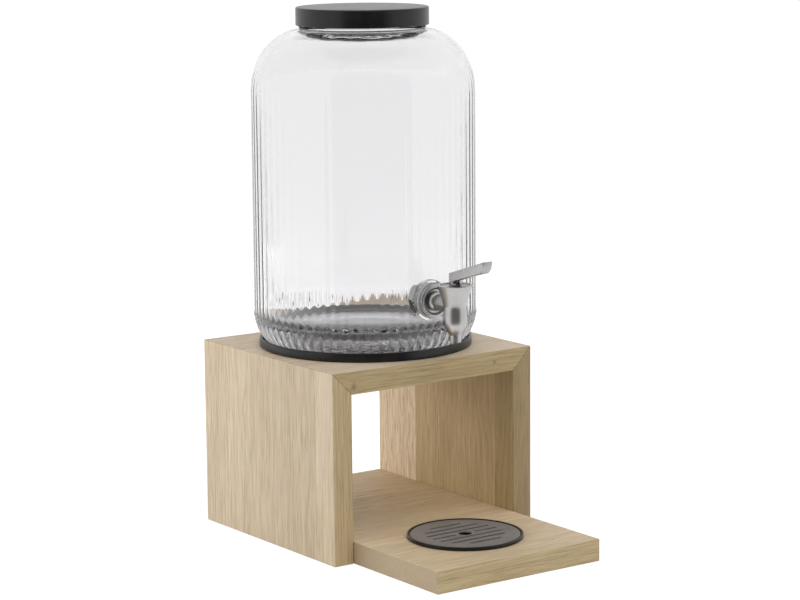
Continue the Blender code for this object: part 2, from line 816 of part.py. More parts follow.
def build_spring(stem_lift):
    """The return spring: one unbroken wire between the bonnet and the stem's collar."""
    coil_radius = (stem_radius + stem_collar_radius) / 2
    points_per_turn = 10
    travel = spring_length - 2 * spring_wire_radius
    low = collar_top_z + seat_gap + spring_wire_radius
    count = spring_turns * points_per_turn
    route = []
    for number in range(count + 1):
        turn = 2 * math.pi * number / points_per_turn
        height = low + travel * number / count - tap_z
        route.append((coil_radius * math.cos(turn), coil_radius * math.sin(turn), height))
    curve = bpy.data.curves.new("return_spring_route", "CURVE")
    curve.dimensions = "3D"
    spline = curve.splines.new("POLY")
    spline.points.add(len(route) - 1)
    for point, (x, y, z) in zip(spline.points, route):
        point.co = (x, y, z, 1.0)
    curve.bevel_depth = spring_wire_radius
    curve.bevel_resolution = 0
    curve.use_fill_caps = True
    curve.materials.append(steel("return_spring"))
    spring = bpy.data.objects.new("return_spring", curve)
    bpy.context.collection.objects.link(spring)
    spring.parent = stem_lift
    spring.location = Vector((0.0, tap_y, tap_z)) - stem_lift.location


def build_lever(hinge):
    """The lever: two legs that straddle the stem, a plate over them and a ridged arm."""
    top = fork_height - pin_height
    slope = (lever_rise - fork_height) / (lever_length + leg_back)
    tip_top = lever_rise - pin_height
    foot = seat_gap - pin_height
    outline = [
        (leg_back, foot),
        (leg_back, top),
        (-lever_length, tip_top),
    ]
    for back_share, down_share in nose_shares:
        outline.append((-lever_length + lever_nose * back_share, tip_top - lever_nose_drop * down_share))
    outline += [
        (-leg_front, top + slope * leg_front - lever_depth),
        (-leg_front, foot + 2 * (lever_toe - leg_front)),
        (-lever_toe, foot + (lever_toe - leg_front)),
        (-lever_toe, foot),
    ]
    bm = prism(outline, (-lever_half, lever_half), "X")
    bmesh.ops.bevel(bm, geom=bm.edges[:], offset=lever_edge, segments=1, affect="EDGES", clamp_overlap=True)
    lever = place("lever", bm, steel("lever"), hinge.location, hinge, smooth=False)

    slot_top = top - fork_plate
    slot_front = -leg_front - fork_half
    slot = box((-fork_half, slot_front, foot - overrun), (fork_half, leg_back + overrun, slot_top))
    combine(lever, helper("lever_slot", slot, hinge.location), "DIFFERENCE")
    bore_half = lever_half + overrun
    bore = turned(rod_outline(pin_radius + running_gap, -bore_half, bore_half), small_sides)
    bmesh.ops.rotate(bore, verts=bore.verts, matrix=Matrix.Rotation(math.pi / 2, 3, "Y"))
    combine(lever, helper("lever_bore", bore, hinge.location), "DIFFERENCE")
    grooves = bmesh.new()
    lean = Matrix.Rotation(-math.atan(slope), 3, "X")
    for number in range(ridge_count):
        reach = ridge_start + ridge_pitch * number
        low = Vector((-lever_half - overrun, -ridge_width / 2, -ridge_depth))
        high = Vector((lever_half + overrun, ridge_width / 2, overrun))
        cube = bmesh.ops.create_cube(grooves, size=1.0)
        bmesh.ops.scale(grooves, vec=high - low, verts=cube["verts"])
        bmesh.ops.translate(grooves, vec=(low + high) / 2, verts=cube["verts"])
        bmesh.ops.rotate(grooves, verts=cube["verts"], matrix=lean)
        spot = (0.0, -reach, top + slope * (leg_back + reach))
        bmesh.ops.translate(grooves, vec=spot, verts=cube["verts"])
    combine(lever, helper("lever_grooves", grooves, hinge.location), "DIFFERENCE")

    pin = turned(rod_outline(pin_radius, -lever_half, lever_half), small_sides)
    bmesh.ops.rotate(pin, verts=pin.verts, matrix=Matrix.Rotation(math.pi / 2, 3, "Y"))
    place("lever_pin", pin, steel("lever_pin"), hinge.location, hinge)


def build_drip_tray(tray_lift, grate_lift):
    """The round tray whose bowl hangs in the base board, and the slotted grate in its rim."""
    inner = tray_bowl_radius - tray_wall
    ledge = grate_top_z - grate_thickness - seat_gap
    rim_inner = tray_radius - tray_lip_width
    bowl_z = board_thickness - tray_bowl_depth
    outline = [
        (0.0, bowl_z),
        (tray_bowl_radius, bowl_z),
        (tray_bowl_radius, tray_seat_z),
        (tray_radius, tray_seat_z),
        (tray_radius, tray_top_z - tray_lip_edge),
        (tray_radius - tray_lip_edge, tray_top_z),
        (rim_inner, tray_top_z),
        (rim_inner, ledge),
        (inner, ledge),
        (inner, bowl_z + tray_wall),
        (0.0, bowl_z + tray_wall),
    ]
    place("drip_tray", turned(outline, round_sides), black_enamel("drip_tray"), (0.0, tray_y, 0.0), tray_lift)

    plate = turned(rod_outline(grate_radius, grate_top_z - grate_thickness, grate_top_z), round_sides)
    finish = material("drip_grate", (0.22, 0.215, 0.22), 0.42, metallic=0.6)
    grate = place("drip_grate", plate, finish, (0.0, tray_y, 0.0), grate_lift)
    cutters = bmesh.new()
    middle = len(slot_length_shares) // 2
    for row, share in enumerate(slot_length_shares):
        y = slot_pitch * (middle - row)
        half = grate_radius * share
        if row == middle:
            near = grate_hole_radius + slot_hole_margin
            spans = [(-half, -near), (near, half)]
        else:
            spans = [(-half, half)]
        for start, end in spans:
            slot_cutter(cutters, start, end, y)
    combine(grate, helper("grate_slots", cutters, (0.0, tray_y, 0.0)), "DIFFERENCE")
    low = grate_top_z - grate_thickness - overrun
    hole = turned(rod_outline(grate_hole_radius, low, grate_top_z + overrun), small_sides)
    combine(grate, helper("grate_hole", hole, (0.0, tray_y, 0.0)), "DIFFERENCE")


def slot_cutter(bm, start, end, y):
    """Add one round-ended slot to the cutter of the grate."""
    low = grate_top_z - grate_thickness - overrun
    radius = slot_width / 2
    rounding = 4
    corners = []
    for centre, first in ((end - radius, -90), (start + radius, 90)):
        for step in range(rounding + 1):
            turn = math.radians(first + 180 * step / rounding)
            corners.append(bm.verts.new((centre + radius * math.cos(turn), y + radius * math.sin(turn), low)))
    face = bm.faces.new(corners)
    grown = bmesh.ops.extrude_face_region(bm, geom=[face])
    moved = [item for item in grown["geom"] if isinstance(item, bmesh.types.BMVert)]
    bmesh.ops.translate(bm, vec=(0.0, 0.0, grate_thickness + 2 * overrun), verts=moved)


def build_dispenser():
    for old in list(bpy.data.objects):
        bpy.data.objects.remove(old, do_unlink=True)
    dish_lift = joint_empty("dish_lift", (0.0, jar_y, dish_z))
    jar_lift = joint_empty("jar_lift", (0.0, jar_y, jar_z))
    lid_lift = joint_empty("lid_lift", (0.0, jar_y, mouth_z))
    stem_lift = joint_empty("stem_lift", (0.0, tap_y, tap_z))
    lever_hinge = joint_empty("lever_hinge", (0.0, tap_y, pin_z))
    tray_lift = joint_empty("tray_lift", (0.0, tray_y, board_thickness))
    grate_lift = joint_empty("grate_lift", (0.0, tray_y, grate_top_z))
    build_stand()
    build_base_dish(dish_lift)
    build_jar(jar_lift)
    build_lid(lid_lift)
    build_shank_pieces(jar_lift)
    build_tap_body(jar_lift)
    build_valve(jar_lift, stem_lift)
    build_lever(lever_hinge)
    build_drip_tray(tray_lift, grate_lift)


build_dispenser()
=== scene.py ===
"""Oak drink dispenser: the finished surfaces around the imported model.

Laid out as an add-on and run as a script. Metres, +Z up; the dispenser faces -Y.
"""

import math

import bmesh
import bpy
from mathutils import Matrix, Vector


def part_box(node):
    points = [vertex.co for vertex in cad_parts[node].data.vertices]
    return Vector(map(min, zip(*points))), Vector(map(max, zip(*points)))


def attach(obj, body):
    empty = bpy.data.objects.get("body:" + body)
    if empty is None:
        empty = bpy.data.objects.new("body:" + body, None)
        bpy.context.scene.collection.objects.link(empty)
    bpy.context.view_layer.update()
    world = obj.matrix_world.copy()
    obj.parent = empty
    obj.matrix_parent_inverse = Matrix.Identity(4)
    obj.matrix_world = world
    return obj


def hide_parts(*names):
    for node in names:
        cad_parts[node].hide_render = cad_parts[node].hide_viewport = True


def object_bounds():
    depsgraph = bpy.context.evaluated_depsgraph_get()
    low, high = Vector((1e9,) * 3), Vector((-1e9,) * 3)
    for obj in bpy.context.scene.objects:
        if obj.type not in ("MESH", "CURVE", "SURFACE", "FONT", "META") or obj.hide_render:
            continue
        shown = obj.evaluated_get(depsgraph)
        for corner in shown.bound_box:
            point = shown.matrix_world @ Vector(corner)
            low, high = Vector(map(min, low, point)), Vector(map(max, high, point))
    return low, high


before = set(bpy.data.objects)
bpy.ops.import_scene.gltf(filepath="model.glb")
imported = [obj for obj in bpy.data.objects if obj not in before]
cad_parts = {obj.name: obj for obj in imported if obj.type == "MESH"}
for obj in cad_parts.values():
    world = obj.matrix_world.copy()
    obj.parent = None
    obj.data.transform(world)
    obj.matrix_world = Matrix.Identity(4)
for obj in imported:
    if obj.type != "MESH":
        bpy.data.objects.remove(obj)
cad_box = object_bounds()

bl_info = {
    "name": "Oak Drink Dispenser",
    "version": (1, 0, 0),
    "blender": (4, 5, 0),
    "location": "3D View > Sidebar > Dispenser",
    "description": "Dresses the packed model of an oak drink dispenser in its finished surfaces",
    "category": "Object",
}


def middle(node):
    """Middle of a node's box."""
    low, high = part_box(node)
    return (low + high) / 2


def half_width(node):
    """Half a node's size across the dispenser."""
    low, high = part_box(node)
    return (high.x - low.x) / 2


def half_height(node):
    """Half a node's height."""
    low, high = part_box(node)
    return (high.z - low.z) / 2


# The staves of each board: the Y that each starts at, its tone, how coarse its grain is and how much of its
# board's face tone it takes. The right board's tones, darker to the front and lighter to the back, are
# painted shade and light; the base board's lighter middle and back staves are painted light.
left_staves = ((-0.044, 1.08, 0.0, 1.0), (-0.017, 0.98, 0.1, 1.0), (0.087, 1.01, 0.15, 1.0))
right_staves_painted_shade = ((-0.044, 0.71, 0.1, 1.0), (-0.018, 0.90, 0.4, 0.75), (0.106, 1.27, 1.0, 0.0))
top_staves = ((-0.044, 0.99, 0.1, 1.0), (0.035, 1.03, 0.2, 1.0), (0.130, 1.0, 0.1, 1.0))
base_staves_painted_light = ((-0.166, 1.03, 0.2, 1.0), (-0.070, 1.16, 0.0, 1.0), (0.030, 1.14, 0.2, 1.0))

# Places and sizes taken from the frame
stand_low, stand_high = cad_box
jar_low, jar_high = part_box("glass_jar")
jar_radius = half_width("glass_jar")
jar_height = jar_high.z - jar_low.z
jar_spot = Vector((0.0, jar_high.y - jar_radius, jar_low.z))
tap_low, tap_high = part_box("tap_body")
tap_rim_radius = half_width("tap_body")
shank_spot = Vector((0.0, jar_spot.y, middle("outer_washer").z))
tap_spot = Vector((0.0, tap_low.y + tap_rim_radius, shank_spot.z))
boss_reach = jar_spot.y - jar_low.y
pin_spot = middle("lever_pin")


def length(name, description, default):
    return bpy.props.FloatProperty(
        name=name, description=description, default=default, min=0.0, precision=5,
        unit="LENGTH", subtype="DISTANCE"
    )


def power(name, description, default):
    return bpy.props.FloatProperty(
        name=name, description=description, default=default, min=0.0, unit="POWER"
    )


def place(name, description, default):
    return bpy.props.FloatVectorProperty(
        name=name, description=description, default=default, size=len(default), unit="LENGTH"
    )


def angle(name, description, degrees):
    return bpy.props.FloatProperty(
        name=name, description=description, default=math.radians(degrees), subtype="ANGLE"
    )


def share(name, description, default):
    return bpy.props.FloatProperty(
        name=name, description=description, default=default, min=0.0, max=1.0, subtype="FACTOR"
    )


def colour(name, description, default):
    return bpy.props.FloatVectorProperty(
        name=name, description=description, default=default, min=0.0, max=1.0, size=3, subtype="COLOR"
    )


def count(name, description, default):
    return bpy.props.IntProperty(name=name, description=description, default=default, min=1)


class OakSettings(bpy.types.PropertyGroup):
    light: colour("Late wood", "Colour of the pale, dense part of each year's ring", (0.720, 0.590, 0.430))
    dark: colour("Early wood", "Colour of the open-grained part of each year's ring", (0.530, 0.405, 0.265))
    pore: colour("Pores", "Colour inside the open pores", (0.310, 0.215, 0.120))
    ring_width: length("Ring width", "Thickness of one year's ring", 0.0027)
    pore_depth: length("Pore depth", "Depth of the open pores", 0.00018)


class JarSettings(bpy.types.PropertyGroup):
    # The tint is partly the glass's own colour and partly painted shade, greying the jar in place of the
    # darker room that it reflects.
    tint: colour("Tint", "Light that passes each surface of the glass, squared", (0.897, 0.892, 0.899))
    wall: length("Wall", "Thickness of the glass", 0.004)
    floor: length("Floor", "Thickness of the jar's bottom", 0.009)
    heel_height: length("Heel height", "Height of the curve into the foot", 0.0334)
    heel_inset: length("Heel inset", "How far the foot lies inside the wall", 0.019)
    punt_rise: length("Punt rise", "Rise of the hollow under the jar", 0.0025)
    punt_margin: length("Foot ring", "Width of the ring that the jar stands on", 0.011)
    shoulder_height: length("Shoulder height", "Height of the shoulder's curve", 0.055)
    neck_radius: length("Neck radius", "Outer radius of the neck", 0.0545)
    neck_height: length("Neck height", "Height of the neck", 0.015)
    bead_reach: length("Bead reach", "How far the neck's bead stands out", 0.0027)
    bead_height: length("Bead height", "Height of the neck's bead", 0.003)
    lip: length("Lip rounding", "Rounding of the mouth's edges", 0.0014)
    flute_count: count("Flutes", "Number of flutes round the wall", 72)
    flute_depth: length("Flute depth", "Depth of the soft valleys, low on the wall", 0.00035)
    upper_share: share("Upper flutes", "Share of the flutes' depth that is left at the shoulder", 0.55)
    heel_depth: length("Heel depth", "Depth of the sharp valleys between the petals", 0.0009)
    bowl_radius: length("Flat floor", "Radius of the flat middle of the jar's floor", 0.042)
    flute_top_fade: length("Flute fade", "Height over which the flutes run out at the shoulder", 0.060)
    flute_foot_fade: length("Flute start", "Height over which the flutes begin at the foot", 0.006)
    petal_rise: length("Petal rise", "How far each petal stands out at the heel", 0.0008)
    petal_height: length("Petal height", "Height of the petals' round tops", 0.030)
    petal_arch: length("Petal arch", "Height of the arch at a petal's top", 0.014)
    petal_edge: length("Petal edge", "Width of the slope round a petal's top", 0.0026)
    boss_radius: length("Boss radius", "Radius of the flat boss at the tap hole", 0.018)
    boss_thickness: length("Boss thickness", "Thickness of the glass through the boss", 0.0057)
    hole_radius: length("Tap hole", "Radius of the tap hole", 0.0086)
    stipple_depth: length("Stipple depth", "Depth of the dimples under the foot", 0.0004)


class TapSettings(bpy.types.PropertyGroup):
    steel: colour("Steel", "Colour of the satin steel", (0.50, 0.492, 0.485))
    # The stem is near black, which makes the slot between the lever's legs dark.
    dark_steel: colour("Near-black stem steel", "Colour of the stem", (0.10, 0.10, 0.10))
    rim_edge: length("Rim edge", "Rounding of the rim", 0.0005)
    waist_drop: length("Waist drop", "Depth of the waist below the rim", 0.0195)
    waist_radius: length("Waist radius", "Radius of the waist", 0.0099)
    belly_drop: length("Belly drop", "Depth of the belly below the rim", 0.029)
    belly_radius: length("Belly radius", "Radius of the belly", 0.0104)
    bowl_height: length("Bowl height", "Height of the bowl's round foot", 0.015)
    spout_radius: length("Spout radius", "Outer radius of the spout", 0.0051)
    outlet_radius: length("Outlet radius", "Radius of the spout's bore", 0.0036)
    cavity_radius: length("Cavity radius", "Radius of the bore in the goblet", 0.008)
    seat_drop: length("Seat drop", "Depth of the valve seat below the rim", 0.032)
    seat_height: length("Seat height", "Height of the valve seat's cone", 0.0046)
    ledge_drop: length("Ledge drop", "Depth of the ledge under the gasket", 0.0048)
    arm_radius: length("Arm radius", "Radius of the arm between goblet and collar", 0.007)
    collar_radius: length("Collar radius", "Radius of the round collar", 0.0086)
    collar_length: length("Collar length", "Half length of the round collar", 0.006)
    shank_radius: length("Shank radius", "Radius over the shank's thread", 0.0078)
    thread_pitch: length("Thread pitch", "Pitch of the shank's thread", 0.0015)
    thread_depth: length("Thread depth", "Depth of the shank's thread", 0.0005)
    passage_radius: length("Passage radius", "Radius of the bore through the shank", 0.0044)
    rose_step: length("Rose step", "Height of the ring on the dished rose", 0.0014)
    rose_seat: length("Rose seat", "Thickness of the rose in its middle", 0.002)
    fit: length("Fit", "Clearance between seated pieces", 0.0003)
    stem_radius: length("Stem radius", "Radius of the stem through the bonnet", 0.0018)
    stem_tail: length("Stem tail", "Radius of the stem below its collar", 0.0016)
    stem_collar: length("Stem collar", "Height of the stem's collar", 0.0012)
    stem_play: length("Stem play", "Clearance round the stem in the bonnet", 0.00008)
    stem_rounding: length("Stem rounding", "Rounding of the stem's edges", 0.0006)
    pin_bore: length("Pin bore", "Radius of the hole for the lever's pin", 0.00098)
    bonnet_flange: length("Bonnet flange", "Height of the bonnet's flange", 0.003)
    bonnet_edge: length("Bonnet edge", "Rounding of the bonnet's edges", 0.00035)
    hole_ring: length("Spanner ring", "Distance of the spanner holes from the middle", 0.0086)
    hole_size: length("Spanner hole", "Radius of a spanner hole", 0.0008)
    hole_depth: length("Spanner depth", "Depth of a spanner hole", 0.0016)
    overrun: length("Overrun", "How far a cutter reaches past what it cuts", 0.001)


class LeverSettings(bpy.types.PropertyGroup):
    slope: share("Rise", "Rise of the lever for each unit of its length", 0.3163)
    depth: length("Depth", "Depth of the lever below its top", 0.0073)
    fork_half: length("Fork half gap", "Half the gap between the two legs", 0.0024)
    leg_back: length("Leg back", "Reach of the legs behind the pin", 0.0026)
    leg_front: length("Leg front", "Reach of the legs in front of the pin", 0.0024)
    toe: length("Toe", "Reach of the legs' toes in front of the pin", 0.0040)
    plate: length("Plate", "Thickness of the plate over the legs", 0.0022)
    nose: length("Nose", "Length of the cut-back nose", 0.0088)
    nose_drop: length("Nose drop", "Height of the cut-back nose", 0.0117)
    nose_face: share("Nose face", "Share of the nose's height that is upright", 0.12)
    edge: length("Edge", "Rounding of the edges", 0.0005)
    ridges: count("Ridges", "Number of grooves across the top", 6)
    ridge_pitch: length("Ridge pitch", "Distance between the grooves", 0.0046)
    ridge_width: length("Ridge width", "Width of one groove", 0.0024)
    ridge_depth: length("Ridge depth", "Depth of one groove", 0.0013)
    ridge_start: length("Ridge start", "Distance from the pin to the first groove", 0.0174)


class CoatSettings(bpy.types.PropertyGroup):
    black: colour("Black coat", "Colour of the lid, the dish and the tray", (0.0065, 0.0060, 0.0070))
    # The grate's grey is painted sheen: it stands for the black coat's gloss seen at a glancing view.
    grey: colour("Grate painted sheen", "Colour of the grate", (0.195, 0.187, 0.186))
    silicone: colour("Silicone", "Colour of the washers and seals", (0.80, 0.81, 0.82))
    lid_edge: length("Lid edge", "Rounding of the lid's edge", 0.0014)
    lid_wall: length("Lid wall", "Thickness of the lid's shell", 0.0014)
    dish_floor: length("Dish floor", "Thickness of the dish's bottom", 0.002)
    dish_wall: length("Dish wall", "Thickness of the dish's rim", 0.003)
    tray_lip: length("Tray lip", "Width of the tray's lip", 0.0024)
    tray_wall: length("Tray wall", "Thickness of the tray's sheet", 0.0012)
    tray_bowl: length("Tray bowl", "Outer radius of the tray's bowl", 0.0465)
    slot_width: length("Slot width", "Width of the grate's slots", 0.0028)
    slot_pitch: length("Slot pitch", "Distance between the grate's rows", 0.0099)
    finger_hole: length("Finger hole", "Radius of the grate's hole", 0.006)


class StageSettings(bpy.types.PropertyGroup):
    floor: colour("Floor", "Colour of the studio floor", (0.80, 0.80, 0.80))
    world_light: share("World light", "Strength of the even light from all round", 0.47)
    aim: place("Lamps' aim", "Point that the key and the top light shine at", (0.0, 0.0, 0.2))
    key_power: power("Key light", "Power of the large lamp on the left", 4.5)
    key_spot: place("Key place", "Where the key light stands", (-1.35, 0.10, 0.95))
    key_size: place("Key size", "Width and height of the key light", (1.1, 1.1))
    rear_power: power("Rear light", "Power of the low lamp behind, on the left", 9.5)
    rear_spot: place("Rear place", "Where the rear light stands", (-0.80, 1.15, 0.32))
    rear_aim: place("Rear aim", "Point that the rear light shines at", (0.0, 0.1, 0.1))
    rear_size: place("Rear size", "Width and height of the rear light", (0.9, 0.6))
    top_power: power("Top light", "Power of the lamp overhead", 8.0)
    top_spot: place("Top place", "Where the lamp overhead hangs", (0.10, -0.55, 1.6))
    top_size: place("Top size", "Width and height of the lamp overhead", (1.2, 1.2))
    card_size: place("Card size", "Width and height of the grey card in front", (0.84, 0.75))
    card_spot: place("Card place", "Where the grey card stands", (-0.20, -0.42))
    card_light: share("Card", "How bright the grey card looks in polished surfaces", 0.16)
    lens: bpy.props.FloatProperty(
        name="Lens", description="Focal length of the camera in millimetres", default=118.01, min=1.0
    )
    yaw: angle("Yaw", "Turn of the view to the right of +Y", 35.57817)
    pitch: angle("Pitch", "Tilt of the view below level", 9.70543)
    roll: angle("Roll", "Roll of the camera", -0.48857)
    camera_spot: place("Camera", "Place of the camera", (-1.338664, -1.864506, 0.610160))


class DispenserSettings(bpy.types.PropertyGroup):
    oak: bpy.props.PointerProperty(name="Oak", description="The oak boards", type=OakSettings)
    jar: bpy.props.PointerProperty(name="Jar", description="The glass jar", type=JarSettings)
    tap: bpy.props.PointerProperty(
        name="Tap", description="The tap and what is on its shank", type=TapSettings
    )
    lever: bpy.props.PointerProperty(name="Lever", description="The tap's lever", type=LeverSettings)
    coat: bpy.props.PointerProperty(name="Coats", description="Lid, dish, tray and grate", type=CoatSettings)
    stage: bpy.props.PointerProperty(
        name="Stage", description="Floor, lamps and camera", type=StageSettings
    )


# Outlines


def arc(centre, semi, start, end, steps):
    """Points of an ellipse from one angle to another, in degrees."""
    angles = [math.radians(start + (end - start) * step / steps) for step in range(steps + 1)]
    return [(centre[0] + semi[0] * math.cos(a), centre[1] + semi[1] * math.sin(a)) for a in angles]


def eased(outline, radius, steps=3):
    """Round the corners of an outline, all but its ends where these lie on the axis."""
    on_axis = outline[0][0] == 0.0
    made = []
    total = len(outline)
    for number, point in enumerate(outline):
        if on_axis and number in (0, total - 1):
            made.append(point)
            continue
        here = Vector(point)
        before = Vector(outline[number - 1]) - here
        after = Vector(outline[(number + 1) % total]) - here
        reach = min(radius, before.length * 0.45, after.length * 0.45)
        if before.angle(after) > math.radians(160):
            made.append(point)
            continue
        start = here + before.normalized() * reach
        end = here + after.normalized() * reach
        for step in range(steps + 1):
            part = step / steps
            spot = start.lerp(here, part).lerp(here.lerp(end, part), part)
            made.append((spot.x, spot.y))
    return made


def tube(inner, outer, low, high):
    return [(inner, low), (outer, low), (outer, high), (inner, high)]


def rod(radius, low, high):
    return [(0.0, low), (radius, low), (radius, high), (0.0, high)]


# Meshes


def lathe(outline, sides, reshape=None):
    """Turn an outline of (radius, height) points round Z into a closed body.

    It starts and ends on the axis, or is a closed ring. Reshape may change a point by its row and turn.
    """
    bm = bmesh.new()
    rings = []
    for row, (radius, height) in enumerate(outline):
        if radius == 0.0:
            rings.append([bm.verts.new((0.0, 0.0, height))])
            continue
        ring = []
        for number in range(sides):
            turn = 2 * math.pi * number / sides
            reach, level = (radius, height) if reshape is None else reshape(row, radius, height, turn)
            ring.append(bm.verts.new((reach * math.cos(turn), reach * math.sin(turn), level)))
        rings.append(ring)
    pairs = list(zip(rings, rings[1:]))
    if len(rings[0]) > 1:
        pairs.append((rings[-1], rings[0]))
    for low, high in pairs:
        for number in range(sides):
            after = (number + 1) % sides
            if len(low) == 1:
                bm.faces.new((low[0], high[after], high[number]))
            elif len(high) == 1:
                bm.faces.new((low[number], low[after], high[0]))
            else:
                bm.faces.new((low[number], low[after], high[after], high[number]))
    return bm


def turn_out(bm):
    """Lay a turned shape on its side, so that its height points out of the jar, along -Y."""
    bmesh.ops.rotate(bm, verts=bm.verts, matrix=Matrix.Rotation(math.pi / 2, 3, "X"))
    return bm


def turn_across(bm):
    """Lay a turned shape on its side, along X."""
    bmesh.ops.rotate(bm, verts=bm.verts, matrix=Matrix.Rotation(math.pi / 2, 3, "Y"))
    return bm


def prism(outline, low, high):
    """Extrude a closed outline of (y, z) points along X."""
    bm = bmesh.new()
    corners = [bm.verts.new((low, u, v)) for u, v in outline]
    face = bm.faces.new(corners)
    grown = bmesh.ops.extrude_face_region(bm, geom=[face])
    moved = [item for item in grown["geom"] if isinstance(item, bmesh.types.BMVert)]
    bmesh.ops.translate(bm, vec=(high - low, 0.0, 0.0), verts=moved)
    return bm


def slot_shape(start, end, y, radius, low, high, steps=8):
    """A round-ended slot along X."""
    bm = bmesh.new()
    corners = []
    for centre, first in ((end - radius, -90), (start + radius, 90)):
        for x, v in arc((centre, y), (radius, radius), first, first + 180, steps):
            corners.append(bm.verts.new((x, v, low)))
    face = bm.faces.new(corners)
    grown = bmesh.ops.extrude_face_region(bm, geom=[face])
    moved = [item for item in grown["geom"] if isinstance(item, bmesh.types.BMVert)]
    bmesh.ops.translate(bm, vec=(0.0, 0.0, high - low), verts=moved)
    return bm


def to_object(name, bm, spot):
    bmesh.ops.recalc_face_normals(bm, faces=bm.faces)
    mesh = bpy.data.meshes.new(name)
    bm.to_mesh(mesh)
    bm.free()
    made = bpy.data.objects.new(name, mesh)
    made.location = spot
    bpy.context.scene.collection.objects.link(made)
    return made


def combine(piece, bm, operation, spot=None):
    """Join a shape to a piece, or cut it out of the piece, and keep the result as its mesh."""
    other = to_object("cutter", bm, piece.location if spot is None else spot)
    modifier = piece.modifiers.new(operation, "BOOLEAN")
    modifier.object = other
    modifier.operation = operation
    modifier.solver = "EXACT"
    bpy.context.view_layer.update()
    evaluated = piece.evaluated_get(bpy.context.evaluated_depsgraph_get())
    result = bpy.data.meshes.new_from_object(evaluated)
    old = piece.data
    piece.modifiers.clear()
    piece.data = result
    result.name = piece.name
    bpy.data.meshes.remove(old)
    bpy.data.objects.remove(other, do_unlink=True)


def dress(piece, finish, body, slot, *replaced, crease=35):
    """Shade a piece smooth, give it its material, tie it to its body and hide the nodes that it replaces. The
    slot is not used.
    """
    piece.data.materials.clear()
    piece.data.materials.append(finish)
    piece.data.shade_smooth()
    piece.data.set_sharp_from_angle(angle=math.radians(crease))
    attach(piece, body)
    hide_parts(*replaced)
    return piece


def finish_node(name, finish):
    """Give a node of the frame its finished material."""
    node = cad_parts[name]
    node.data.materials.clear()
    node.data.materials.append(finish)


# Material nodes


def new_material(name):
    made = bpy.data.materials.new(name)
    made.use_nodes = True
    tree = made.node_tree
    return made, tree, tree.nodes["Principled BSDF"]


def add(tree, kind, values=None, **settings):
    """Add a node. Values are numbers for its inputs, or sockets to link to them."""
    made = tree.nodes.new(kind)
    for key, value in settings.items():
        setattr(made, key, value)
    for key, value in (values or {}).items():
        if isinstance(value, bpy.types.NodeSocket):
            tree.links.new(value, made.inputs[key])
        else:
            made.inputs[key].default_value = value
    return made


def calc(tree, operation, first, second=0.0, third=0.0):
    """A Math node's result."""
    return add(tree, "ShaderNodeMath", {0: first, 1: second, 2: third}, operation=operation).outputs[0]


def ramp(tree, factor, *stops):
    """A colour ramp of (place, grey or colour) stops."""
    made = add(tree, "ShaderNodeValToRGB", {"Fac": factor})
    elements = made.color_ramp.elements
    while len(elements) < len(stops):
        elements.new(0.5)
    for element, (place, value) in zip(elements, stops):
        element.position = place
        element.color = (*value, 1.0) if isinstance(value, tuple) else (value, value, value, 1.0)
    return made.outputs["Color"]


def blend_colour(tree, factor, first, second, kind="MIX"):
    """A Mix node's colour."""
    made = tree.nodes.new("ShaderNodeMix")
    made.data_type = "RGBA"
    made.blend_type = kind
    for socket, value in ((made.inputs[0], factor), (made.inputs[6], first), (made.inputs[7], second)):
        if isinstance(value, bpy.types.NodeSocket):
            tree.links.new(value, socket)
        else:
            socket.default_value = value
    return made.outputs[2]


def noise(tree, place, scale, detail=2.0, roughness=0.5):
    values = {"Vector": place, "Scale": scale, "Detail": detail, "Roughness": roughness}
    return add(tree, "ShaderNodeTexNoise", values).outputs["Fac"]


def stretched(tree, place, scales):
    """A place whose axes are scaled one by one."""
    return add(tree, "ShaderNodeVectorMath", {0: place, 1: scales}, operation="MULTIPLY").outputs[0]


def object_place(tree):
    return tree.nodes.new("ShaderNodeTexCoord").outputs["Object"]


def bump(tree, shader, height, distance, strength=1.0):
    made = add(tree, "ShaderNodeBump", {"Height": height, "Distance": distance, "Strength": strength})
    tree.links.new(made.outputs["Normal"], shader.inputs["Normal"])


def vary(tree, shader, socket, source, low, high):
    """Drive a socket of the shader between two values."""
    made = add(tree, "ShaderNodeMapRange", {"Value": source, "To Min": low, "To Max": high})
    tree.links.new(made.outputs["Result"], shader.inputs[socket])


# Finishes


